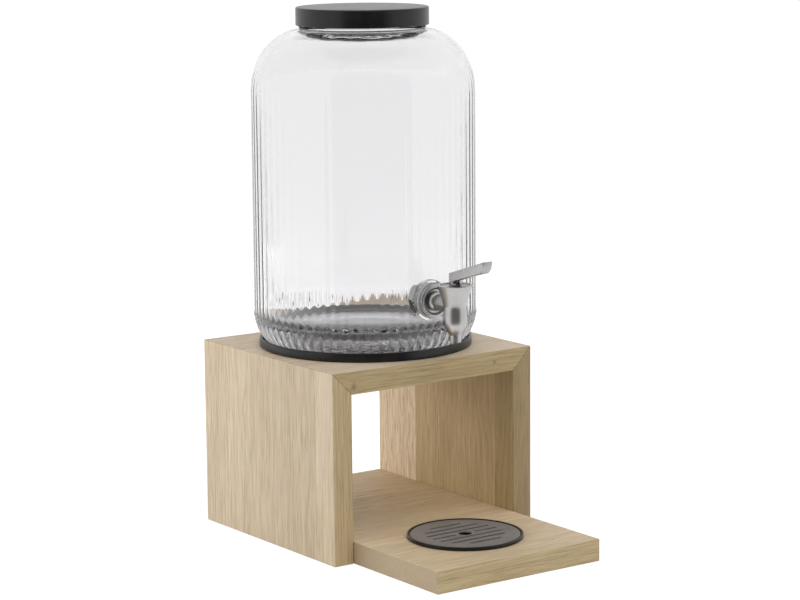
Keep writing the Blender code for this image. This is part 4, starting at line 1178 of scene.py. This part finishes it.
class DISPENSER_OT_lever(bpy.types.Operator):
    """Make the forked lever with its grip ridges, and its pin"""
    bl_idname = "dispenser.lever"
    bl_label = "Lever and Pin"

    def execute(self, context):
        tap = context.scene.dispenser.tap
        lever = context.scene.dispenser.lever
        low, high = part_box("lever")
        half = half_width("lever")
        reach = pin_spot.y - low.y
        tip = high.z - pin_spot.z
        foot = low.z - pin_spot.z
        top = tip - lever.slope * (reach + lever.leg_back)
        outline = [(lever.leg_back, foot), (lever.leg_back, top), (-reach, tip)]
        nose_steps = 8
        for step in range(1, nose_steps + 1):
            part = step / nose_steps
            back = 1.0 - math.cos(math.pi / 2 * part)
            down = lever.nose_face + (1.0 - lever.nose_face) * math.sin(math.pi / 2 * part)
            outline.append((-reach + lever.nose * back, tip - lever.nose_drop * down))
        under = top + lever.slope * lever.leg_front - lever.depth
        outline += [
            (-lever.leg_front, under),
            (-lever.leg_front, foot + 2 * (lever.toe - lever.leg_front)),
            (-lever.toe, foot + (lever.toe - lever.leg_front)),
            (-lever.toe, foot),
        ]
        bm = prism(outline, -half, half)
        bmesh.ops.bevel(
            bm, geom=bm.edges[:], offset=lever.edge, segments=3, profile=0.5, affect="EDGES",
            clamp_overlap=True
        )
        arm = to_object("tap_lever", bm, pin_spot)
        overrun = 0.002
        slot = prism(
            [
                (-lever.leg_front - lever.fork_half, foot - overrun),
                (lever.leg_back + overrun, foot - overrun),
                (lever.leg_back + overrun, top - lever.plate),
                (-lever.leg_front - lever.fork_half, top - lever.plate),
            ],
            -lever.fork_half,
            lever.fork_half,
        )
        combine(arm, slot, "DIFFERENCE")
        bore = rod(tap.pin_bore, -half - overrun, half + overrun)
        combine(arm, turn_across(lathe(bore, 32)), "DIFFERENCE")
        lean = Matrix.Rotation(-math.atan(lever.slope), 3, "X")
        for number in range(lever.ridges):
            run = lever.ridge_start + lever.ridge_pitch * number
            half_groove = lever.ridge_width / 2
            groove = [(u * half_groove, v) for u, v in arc((0.0, 0.0), (1.0, -lever.ridge_depth), 0, 180, 8)]
            groove = [(half_groove, overrun)] + groove + [(-half_groove, overrun)]
            bm = prism(groove, -half - overrun, half + overrun)
            bmesh.ops.rotate(bm, verts=bm.verts, matrix=lean)
            spot = pin_spot + Vector((0.0, -run, top + lever.slope * (lever.leg_back + run)))
            combine(arm, bm, "DIFFERENCE", spot)
        finish = satin_steel("lever_steel", [part * 0.86 for part in tap.steel], turned=False)
        dress(arm, finish, "lever", "brushed_steel", "lever", crease=30)

        pin = eased(rod(half_height("lever_pin"), -half, half), 0.0002)
        pin = to_object("lever_pivot", turn_across(lathe(pin, 32)), pin_spot)
        dress(pin, satin_steel("pin_steel", tap.steel), "lever", "brushed_steel", "lever_pin")
        return {"FINISHED"}


# The drip tray


class DISPENSER_OT_tray(bpy.types.Operator):
    """Make the round drip tray in the base board"""
    bl_idname = "dispenser.tray"
    bl_label = "Drip Tray"

    def execute(self, context):
        coat = context.scene.dispenser.coat
        low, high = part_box("drip_tray")
        radius = half_width("drip_tray")
        top = high.z - low.z
        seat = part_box("base_board")[1].z - low.z + 0.0003
        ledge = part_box("drip_grate")[0].z - low.z - 0.0003
        inner = coat.tray_bowl - coat.tray_wall
        lip_inner = radius - coat.tray_lip
        edge = 0.0007
        outline = [(0.0, 0.0)]
        outline += arc((coat.tray_bowl - 0.0015, 0.0015), (0.0015, 0.0015), -90, 0, 5)
        outline += [(coat.tray_bowl, seat - 0.0002), (coat.tray_bowl + 0.0002, seat), (radius - 0.0003, seat)]
        outline += [(radius, seat + 0.0003)]
        outline += arc((radius - edge, top - edge), (edge, edge), 0, 90, 6)
        outline += arc((lip_inner + 0.0003, top - 0.0003), (0.0003, 0.0003), 90, 180, 3)
        outline += [(lip_inner, ledge), (inner, ledge)]
        outline += arc((inner - 0.001, coat.tray_wall + 0.001), (0.001, 0.001), 0, -90, 5)
        outline += [(0.0, coat.tray_wall)]
        spot = Vector((0.0, middle("drip_tray").y, low.z))
        tray = to_object("round_tray", lathe(outline, 160), spot)
        dress(tray, matt_coat("tray_coat", coat.black), "tray", "black_coat", "drip_tray")
        return {"FINISHED"}


class DISPENSER_OT_grate(bpy.types.Operator):
    """Make the slotted grate in the tray"""
    bl_idname = "dispenser.grate"
    bl_label = "Drip Grate"

    def execute(self, context):
        coat = context.scene.dispenser.coat
        low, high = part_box("drip_grate")
        radius = half_width("drip_grate")
        thickness = high.z - low.z
        spot = Vector((0.0, middle("drip_grate").y, low.z))
        plate = to_object("slotted_grate", lathe(eased(rod(radius, 0.0, thickness), 0.0004), 160), spot)
        length_shares = (0.35, 0.60, 0.70, 0.72, 0.70, 0.60, 0.35)
        middle_row = len(length_shares) // 2
        near = coat.finger_hole + 0.0042
        for row, part in enumerate(length_shares):
            y = coat.slot_pitch * (middle_row - row)
            half = radius * part
            spans = [(-half, -near), (near, half)] if row == middle_row else [(-half, half)]
            for start, end in spans:
                cutter = slot_shape(start, end, y, coat.slot_width / 2, -thickness, 2 * thickness)
                combine(plate, cutter, "DIFFERENCE")
        combine(plate, lathe(rod(coat.finger_hole, -thickness, 2 * thickness), 64), "DIFFERENCE")
        # Painted sheen: the grey colour stands for the black coat's gloss at a glancing view.
        finish = matt_coat("grate_painted_sheen_coat", coat.grey, rough=0.36)
        dress(plate, finish, "grate", "grey_coat", "drip_grate")
        return {"FINISHED"}


# The studio


def background_rays(tree):
    """One where the camera, a mirror or glass looks at the background, and zero for its light."""
    path = tree.nodes.new("ShaderNodeLightPath")
    seen = calc(tree, "MAXIMUM", path.outputs["Is Camera Ray"], path.outputs["Is Glossy Ray"])
    return calc(tree, "MAXIMUM", seen, path.outputs["Is Transmission Ray"])


def add_lamp(name, spot, target, size, power):
    lamp = bpy.data.lights.new(name, "AREA")
    lamp.shape = "RECTANGLE"
    lamp.size, lamp.size_y = size
    lamp.energy = power
    made = bpy.data.objects.new(name, lamp)
    made.location = spot
    made.rotation_euler = (Vector(target) - Vector(spot)).to_track_quat("-Z", "Y").to_euler()
    made.visible_glossy = False
    made.visible_transmission = False
    bpy.context.scene.collection.objects.link(made)


class DISPENSER_OT_stage(bpy.types.Operator):
    """Make the floor, the even background, the lamps and the camera"""
    bl_idname = "dispenser.stage"
    bl_label = "Stage"

    def execute(self, context):
        scene = context.scene
        stage = scene.dispenser.stage
        self.make_floor(stage)
        self.make_world(scene, stage)
        add_lamp("key_lamp", stage.key_spot, stage.aim, stage.key_size, stage.key_power)
        add_lamp("rear_lamp", stage.rear_spot, stage.rear_aim, stage.rear_size, stage.rear_power)
        add_lamp("top_lamp", stage.top_spot, stage.aim, stage.top_size, stage.top_power)
        self.make_card(stage)
        self.make_camera(scene, stage)
        scene.view_settings.view_transform = "Standard"
        return {"FINISHED"}

    def make_floor(self, stage):
        bm = lathe([(0.0, 0.0), (14.0, 0.0), (14.0, -0.05), (0.0, -0.05)], 64)
        floor = to_object("studio_floor", bm, Vector((0.0, 0.0, -0.0002)))
        made, tree, shader = new_material("floor_paint")
        speckle = noise(tree, object_place(tree), 3.0, 2.0)
        worn = tuple(part * 0.985 for part in stage.floor)
        paint = ramp(tree, speckle, (0.3, worn), (0.7, tuple(stage.floor)))
        tree.links.new(paint, shader.inputs["Base Color"])
        shader.inputs["Roughness"].default_value = 0.9
        shader.inputs["Specular IOR Level"].default_value = 0.0
        shown = add(tree, "ShaderNodeBsdfDiffuse", {"Color": (0.40, 0.40, 0.40, 1.0)})
        glow = add(tree, "ShaderNodeEmission", {"Color": (1.0, 1.0, 1.0, 1.0), "Strength": 0.85})
        both = add(tree, "ShaderNodeAddShader", {0: shown.outputs[0], 1: glow.outputs[0]})
        mixed = add(
            tree, "ShaderNodeMixShader",
            {0: background_rays(tree), 1: shader.outputs["BSDF"], 2: both.outputs[0]},
        )
        tree.links.new(mixed.outputs[0], tree.nodes["Material Output"].inputs["Surface"])
        floor.data.materials.append(made)

    def make_card(self, stage):
        """A tall grey card in front, which only polished surfaces see."""
        width, height = stage.card_size
        side, middle_z = width / 2, height / 2
        corners = [(-side, -middle_z), (side, -middle_z), (side, middle_z), (-side, middle_z)]
        card = to_object("studio_card", prism(corners, 0.0, 0.01), Vector((*stage.card_spot, middle_z)))
        card.rotation_euler = (0.0, 0.0, math.pi / 2 - stage.yaw)
        made, tree, shader = new_material("card_paint")
        shader.inputs["Base Color"].default_value = (0.0, 0.0, 0.0, 1.0)
        shader.inputs["Specular IOR Level"].default_value = 0.0
        shader.inputs["Emission Color"].default_value = (1.0, 1.0, 1.0, 1.0)
        shader.inputs["Emission Strength"].default_value = stage.card_light
        card.data.materials.append(made)
        card.visible_camera = False
        card.visible_diffuse = False
        card.visible_transmission = False
        card.visible_shadow = False

    def make_world(self, scene, stage):
        world = bpy.data.worlds.new("studio")
        scene.world = world
        world.use_nodes = True
        tree = world.node_tree
        strength = add(
            tree, "ShaderNodeMapRange",
            {"Value": background_rays(tree), "To Min": stage.world_light, "To Max": 1.0},
        )
        tree.nodes["Background"].inputs["Color"].default_value = (1.0, 1.0, 1.0, 1.0)
        tree.links.new(strength.outputs["Result"], tree.nodes["Background"].inputs["Strength"])

    def make_camera(self, scene, stage):
        ahead = Vector((
            math.sin(stage.yaw) * math.cos(stage.pitch),
            math.cos(stage.yaw) * math.cos(stage.pitch),
            -math.sin(stage.pitch),
        ))
        level = Vector((math.cos(stage.yaw), -math.sin(stage.yaw), 0.0))
        upward = level.cross(ahead)
        right = level * math.cos(stage.roll) + upward * math.sin(stage.roll)
        up = upward * math.cos(stage.roll) - level * math.sin(stage.roll)
        camera = bpy.data.objects.new("photo_camera", bpy.data.cameras.new("photo_camera"))
        camera.data.lens = stage.lens
        camera.data.sensor_width = 36.0
        camera.data.clip_end = 60.0
        turn = Matrix((right, up, -ahead)).transposed().to_4x4()
        camera.matrix_world = Matrix.Translation(Vector(stage.camera_spot)) @ turn
        scene.collection.objects.link(camera)
        scene.camera = camera


class DISPENSER_PT_sidebar(bpy.types.Panel):
    """Lists the dispenser's pieces and their settings"""
    bl_idname = "DISPENSER_PT_sidebar"
    bl_label = "Oak Drink Dispenser"
    bl_space_type = "VIEW_3D"
    bl_region_type = "UI"
    bl_category = "Dispenser"

    def draw(self, context):
        settings = context.scene.dispenser
        for operator in operators:
            self.layout.operator(operator.bl_idname)
        for group in ("oak", "jar", "tap", "lever", "coat", "stage"):
            box = self.layout.box()
            box.label(text=settings.bl_rna.properties[group].name)
            values = getattr(settings, group)
            for name in values.__annotations__:
                box.prop(values, name)


groups = (
    OakSettings, JarSettings, TapSettings, LeverSettings, CoatSettings, StageSettings, DispenserSettings,
)
operators = (
    DISPENSER_OT_stand,
    DISPENSER_OT_joinery,
    DISPENSER_OT_dish,
    DISPENSER_OT_jar,
    DISPENSER_OT_lid,
    DISPENSER_OT_shank_pieces,
    DISPENSER_OT_tap_body,
    DISPENSER_OT_valve,
    DISPENSER_OT_lever,
    DISPENSER_OT_tray,
    DISPENSER_OT_grate,
    DISPENSER_OT_stage,
)


def register():
    for made in (*groups, *operators, DISPENSER_PT_sidebar):
        bpy.utils.register_class(made)
    bpy.types.Scene.dispenser = bpy.props.PointerProperty(
        name="Dispenser", description="Sizes and colours of the dispenser", type=DispenserSettings
    )


def unregister():
    del bpy.types.Scene.dispenser
    for made in reversed((*groups, *operators, DISPENSER_PT_sidebar)):
        bpy.utils.unregister_class(made)


def main():
    register()
    for operator in operators:
        name = operator.bl_idname.split(".")[1]
        getattr(bpy.ops.dispenser, name)()


if __name__ == "__main__":
    main()
